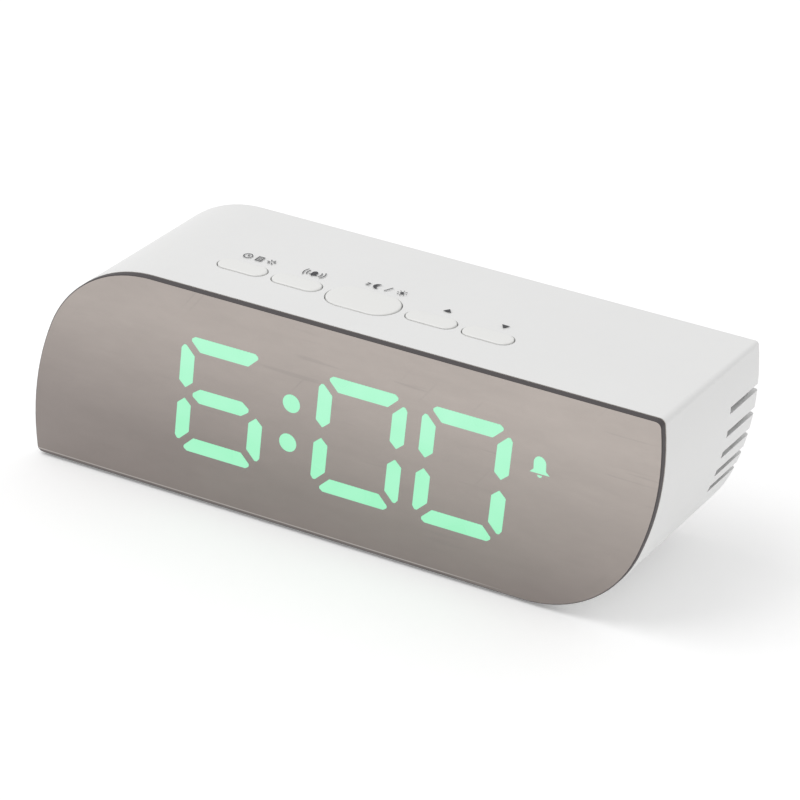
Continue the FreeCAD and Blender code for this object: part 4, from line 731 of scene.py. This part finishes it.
# painted reflection: the face runs darker towards its foot and its left end, for the shaded floor it mirrors
rise = spread(tree, axes["Z"], 0.004, 0.046)
side = spread(tree, axes["X"], -0.085, 0.06, -0.32, 0.0)
painted_reflection_shade = maths(tree, "ADD", rise, side, True)
drift = place_group(tree, cloud, Size=32.0, Contrast=0.5)["Mask"]
film = blend_colours(tree, painted_reflection_shade, MIRROR_FOOT_PAINTED_SHADE, MIRROR_TOP)
dust = blend_colours(tree, drift, (0.30, 0.27, 0.25, 1), (0.46, 0.41, 0.37, 1))
dusty = blend_colours(tree, 0.22, film, dust)
drawn = put(tree, "ShaderNodeVectorMath", {0: place, 1: (0.3, 1.0, 1.0)}, operation="MULTIPLY").outputs[0]
streaks = spread(tree, noise(tree, drawn, 300.0, 4.0, 0.65), 0.3, 0.7, 0.96, 1.03)
streaked = put(tree, "ShaderNodeHueSaturation", {"Color": dusty, "Value": streaks}).outputs[0]
along = place_group(tree, hairlines, Turn=0.0, Fineness=1100.0, Amount=0.20)["Mask"]
across = place_group(tree, hairlines, Turn=0.9, Fineness=800.0, Amount=0.16)["Mask"]
rubbed = maths(tree, "MAXIMUM", along, across)
worn = blend_colours(tree, rubbed, streaked, (0.22, 0.20, 0.19, 1))
# painted shade and highlight: a dark strip for the lower edge seen through the sheet, under a painted
# highlight line on its rounding, both fading towards the right
FADE_START, FADE_END = 30 * MM, 48 * MM
STRIP_TOP, STRIP_BLUR, LINE_Z = 1.60 * MM, 0.15 * MM, 1.68 * MM
near_end = spread(tree, axes["X"], FADE_START, FADE_END, 1.0, 0.0)
under_strip = spread(tree, axes["Z"], STRIP_TOP - STRIP_BLUR, STRIP_TOP, 1.0, 0.0)
strip = maths(tree, "MULTIPLY", under_strip, near_end)
with_painted_edge_shade = blend_colours(tree, maths(tree, "MULTIPLY", strip, 0.55), worn, (0.09, 0.08, 0.08, 1))
off_line = maths(tree, "ABSOLUTE", maths(tree, "SUBTRACT", axes["Z"], LINE_Z))
glint = maths(tree, "MULTIPLY", spread(tree, off_line, 0.00006, 0.00016, 0.5, 0.0), near_end)
tree.links.new(blend_colours(tree, glint, with_painted_edge_shade, (0.72, 0.68, 0.65, 1)), shader.inputs["Base Color"])
tree.links.new(maths(tree, "ADD", maths(tree, "MULTIPLY", drift, 0.12), 0.13), shader.inputs["Roughness"])
half_mirror_face = material
print(material.name, "has", len(tree.nodes), "nodes")

# %% Panel edge
material, tree, shader = start_material("panel_edge", IOR=1.49, Specular_IOR_Level=0.2)
grained = place_group(
    tree, moulded_grain, Colour=(0.080, 0.072, 0.074, 1), Grain=900.0, Patches=0.3, Gloss=0.5
)
sawn = place_group(tree, hairlines, Turn=1.5, Fineness=1600.0, Amount=0.35)["Mask"]
sawn_colour = blend_colours(tree, sawn, grained["Colour"], (0.16, 0.15, 0.15, 1))
tree.links.new(sawn_colour, shader.inputs["Base Color"])
tree.links.new(grained["Roughness"], shader.inputs["Roughness"])
dent(tree, shader, grained["Height"], 4e-6)
panel_edge = material
print(material.name, "has", len(tree.nodes), "nodes")

# %% [markdown]
# The panel is a merged copy of its solid, so that each face can be given the face or the edge finish by
# where it looks. Only the flat front is the mirror; its rounded rim goes with the edge.

# %% Dress the panel
panel_mesh = nodes["front_panel"].data.copy()
panel_mesh.materials.clear()
panel_mesh.materials.append(half_mirror_face)
panel_mesh.materials.append(panel_edge)
panel_shape = bmesh.new()
panel_shape.from_mesh(panel_mesh)
bmesh.ops.remove_doubles(panel_shape, verts=panel_shape.verts, dist=1e-6)
bmesh.ops.dissolve_limit(
    panel_shape, angle_limit=math.radians(0.2), verts=panel_shape.verts, edges=panel_shape.edges
)
panel_shape.normal_update()
FRONT_FACING = -0.999
for face in panel_shape.faces:
    face.material_index = 0 if face.normal.y < FRONT_FACING else 1
    face.smooth = True
panel_shape.to_mesh(panel_mesh)
panel_shape.free()
panel_mesh.set_sharp_from_angle(angle=math.radians(30))
mirror_panel = bpy.data.objects.new("mirror_panel", panel_mesh)
bpy.context.scene.collection.objects.link(mirror_panel)
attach(mirror_panel, "case")
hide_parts("front_panel")
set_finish(mirror_panel, "clear_acrylic")
mirror_faces = sum(p.material_index == 0 for p in panel_mesh.polygons)
print("mirror panel has", mirror_faces, "mirror faces of", len(panel_mesh.polygons))

# %% [markdown]
# ## Light, ink and boards
# The lit strokes glow mint green, a little paler towards the top and in soft patches. The ink is a flat dark
# grey with a fine grain. A circuit board is fibreglass under green lacquer, with copper runs
# that show as paler lines; a brick pattern's joints, bent by a little noise, stand for the runs.

# %% Glow
GLOW_GREEN, GLOW_PALE = (0.30, 0.82, 0.49, 1), (0.41, 0.88, 0.60, 1)
material, tree, shader = start_material("lit_green", Metallic=0.0, Emission_Strength=1.0)
place = put(tree, "ShaderNodeTexCoord").outputs["Object"]
warm = spread(tree, noise(tree, place, 120.0, 1.0), 0.35, 0.65)
rise = spread(tree, put(tree, "ShaderNodeSeparateXYZ", {0: place}).outputs["Z"], 0.012, 0.044)
pale = maths(tree, "MULTIPLY", maths(tree, "ADD", maths(tree, "MULTIPLY", warm, 0.4), rise), 0.7, True)
tree.links.new(blend_colours(tree, pale, GLOW_GREEN, GLOW_PALE), shader.inputs["Emission Color"])
ruled = place_group(tree, hairlines, Turn=1.57, Fineness=1500.0, Amount=0.5)["Mask"]
ruled_colour = blend_colours(tree, ruled, (0.03, 0.06, 0.045, 1), (0.0, 0.03, 0.02, 1))
tree.links.new(ruled_colour, shader.inputs["Base Color"])
tree.links.new(spread(tree, warm, 0.0, 1.0, 0.25, 0.4), shader.inputs["Roughness"])
finishes["lit_green"] = material
print(material.name, "has", len(tree.nodes), "nodes")

# %% Ink
ink = even_stuff("sign_ink", (0.055, 0.055, 0.06), 0.6, 2600.0, 3e-6, 0.4, 0.0)
print(ink.name, "is for", ", ".join(f"{key}_sign" for key in KEYS))

# %% Circuit board
material, tree, shader = start_material("circuit_board", Coat_Weight=0.4, Coat_Roughness=0.15)
place = put(tree, "ShaderNodeTexCoord").outputs["Object"]
upright = put(tree, "ShaderNodeVectorRotate", {"Vector": place, "Angle": math.pi / 2}, rotation_type="X_AXIS")
wander = noise(tree, place, 60.0, 2.0)
swing = maths(tree, "MULTIPLY", wander, 0.004)
bent = put(tree, "ShaderNodeVectorMath", {0: upright.outputs[0], 1: swing}, operation="ADD")
runs = put(
    tree, "ShaderNodeTexBrick",
    {
        "Vector": bent.outputs[0], "Scale": 110.0, "Mortar Size": 0.035, "Mortar Smooth": 0.1,
        "Brick Width": 0.9,
    },
).outputs["Fac"]
weave = noise(tree, place, 1500.0, 1.0)
lacquer = blend_colours(tree, weave, (0.012, 0.13, 0.05, 1), (0.02, 0.17, 0.07, 1))
tree.links.new(blend_colours(tree, runs, lacquer, (0.07, 0.32, 0.13, 1)), shader.inputs["Base Color"])
tree.links.new(spread(tree, wander, 0.3, 0.7, 0.3, 0.45), shader.inputs["Roughness"])
dent(tree, shader, runs, 2e-5)
finishes["circuit_board"] = material
print(material.name, "has", len(tree.nodes), "nodes")

# %% [markdown]
# The cell's sleeve is told from its bare ends by how far along X a point lies. A warm band at each end of
# the sleeve stands for its print. The wires' sleeves change between red and black in bands up their length.

# %% Cell sleeve
cell_low, cell_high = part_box("cell_1")
material, tree, shader = start_material("cell_label")
place = put(tree, "ShaderNodeTexCoord").outputs["Object"]
axes = put(tree, "ShaderNodeSeparateXYZ", {0: place}).outputs
from_middle = maths(tree, "ABSOLUTE", maths(tree, "SUBTRACT", axes["X"], (cell_low.x + cell_high.x) / 2))
SLEEVE_END, BAND_START, SHARP = 21.3 * MM, 15.0 * MM, 0.02 * MM
bare = spread(tree, from_middle, SLEEVE_END, SLEEVE_END + 2.5 * SHARP)
ringed = spread(tree, from_middle, BAND_START, BAND_START + SHARP)
grained = place_group(
    tree, moulded_grain, Colour=(0.03, 0.09, 0.22, 1), Grain=1600.0, Patches=0.2, Gloss=0.32
)
banded = blend_colours(tree, ringed, grained["Colour"], (0.55, 0.42, 0.16, 1))
scuffs = place_group(tree, hairlines, Turn=0.3, Fineness=1500.0, Amount=0.4)["Mask"]
scuffed = blend_colours(tree, scuffs, banded, (0.55, 0.56, 0.58, 1))
tree.links.new(blend_colours(tree, bare, scuffed, (0.72, 0.72, 0.71, 1)), shader.inputs["Base Color"])
tree.links.new(bare, shader.inputs["Metallic"])
tree.links.new(grained["Roughness"], shader.inputs["Roughness"])
dent(tree, shader, grained["Height"], 3e-6)
finishes["cell_label"] = material
print(material.name, "has", len(tree.nodes), "nodes")

# %% Wire sleeve
material, tree, shader = start_material("wire_sleeve")
place = put(tree, "ShaderNodeTexCoord").outputs["Object"]
bands = {"Vector": place, "Scale": 60.0}
stripe = put(tree, "ShaderNodeTexWave", bands, wave_type="BANDS", bands_direction="Z")
grained = place_group(
    tree, moulded_grain, Colour=(0.30, 0.03, 0.03, 1), Grain=1900.0, Patches=0.15, Gloss=0.42
)
second = spread(tree, stripe.outputs[1], 0.48, 0.52)
dark = blend_colours(tree, second, grained["Colour"], (0.05, 0.05, 0.055, 1))
tree.links.new(dark, shader.inputs["Base Color"])
tree.links.new(grained["Roughness"], shader.inputs["Roughness"])
dent(tree, shader, grained["Height"], 6e-6)
finishes["wire_sleeve"] = material
print(len(finishes), "finishes in all")

# %% [markdown]
# ## Dressing the pieces
# New pieces know their slot. The CAD solids that stay are listed by the stuff they are made of.

# %% Assign the finishes
STUFF = {
    "mirror_film": ["mirror_coat"], "gasket_foam": ["panel_gasket"], "case_white": ["housing"],
    "cover_white": ["rear_cover", "battery_door"], "contact_steel": ["contact_plates", "contact_springs"],
    "switch_black": [f"{key}_switch" for key in KEYS], "plunger_plastic": [f"{key}_plunger" for key in KEYS],
    "circuit_board": ["key_board", "main_board", "power_board"], "reflector_plastic": ["display_block"],
    "light_chip": ["light_chips"],
    "tinted_film": ["display_film"],
    "chip_resin": ["controller", "display_driver"],
    "tin_plate": ["crystal", "power_socket"],
    "capacitor_sleeve": ["capacitors"],
    "buzzer_plastic": ["buzzer"],
    "connector_plastic": ["ribbon_connector", "supply_connector", "socket_tongue"],
    "wire_sleeve": ["battery_wires", "supply_wires", "ribbon_cable"],
    "screw_steel": ["cover_screws", "board_screws"],
    "lit_green": [n for n in nodes if n.endswith("light_pipes") or n.endswith("light_pipe")],
}
for slot, members in STUFF.items():
    for name in members:
        nodes[name].data.materials.clear()
        nodes[name].data.materials.append(finishes[slot])
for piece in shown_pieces():
    if not piece.data.materials:
        piece.data.materials.append(finishes.get(piece.get("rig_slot"), ink))

# %% [markdown]
# ## Studio
# A wide pale floor and an even white sky give the flat light of a product table. One large soft lamp from
# above, a little to the left and the front, brightens the top and leaves the end wall a shade darker. The
# Standard view transform keeps whites white.

# %% Floor
FLOOR_HALF = 6.0
floor_mesh = bpy.data.meshes.new("floor")
corners = np.array([(-1, -1, 0), (1, -1, 0), (1, 1, 0), (-1, 1, 0)]) * FLOOR_HALF
floor_mesh.from_pydata(corners.tolist(), [], [(0, 1, 2, 3)])
floor = bpy.data.objects.new("floor", floor_mesh)
bpy.context.scene.collection.objects.link(floor)
material, tree, shader = start_material("pale_floor", Roughness=0.9, Emission_Strength=0.16)
place = put(tree, "ShaderNodeTexCoord").outputs["Object"]
paper = spread(tree, noise(tree, place, 9.0, 3.0), 0.3, 0.7, 0.985, 1.0)
tone = put(tree, "ShaderNodeHueSaturation", {"Color": (0.93, 0.93, 0.93, 1), "Value": paper}).outputs[0]
tree.links.new(tone, shader.inputs["Base Color"])
tree.links.new(tone, shader.inputs["Emission Color"])
shader.inputs["Specular IOR Level"].default_value = 0.1
floor_mesh.materials.append(material)
print("the floor is", 2 * FLOOR_HALF, "m wide")

# %% Sky and lamps
world = bpy.data.worlds.new("studio")
bpy.context.scene.world = world
world.use_nodes = True
sky = next(n for n in world.node_tree.nodes if n.type == "BACKGROUND")
sky.inputs["Color"].default_value = (1.0, 1.0, 1.0, 1)
sky.inputs["Strength"].default_value = 0.72


def soft_lamp(name, place, target, side, watts):
    """A square area lamp of the given side that faces a target."""
    lamp_data = bpy.data.lights.new(name, "AREA")
    lamp_data.size, lamp_data.energy = side, watts
    lamp = bpy.data.objects.new(name, lamp_data)
    bpy.context.scene.collection.objects.link(lamp)
    turn = (Vector(target) - Vector(place)).to_track_quat("-Z", "Y").to_matrix().to_4x4()
    lamp.matrix_world = Matrix.Translation(Vector(place)) @ turn
    return lamp


CLOCK_MIDDLE = (0, 0, 0.03)
soft_lamp("key_lamp", (-0.6, -0.5, 1.6), CLOCK_MIDDLE, side=1.3, watts=11.5)
bpy.context.scene.view_settings.view_transform = "Standard"
bpy.context.scene.view_settings.look = "None"
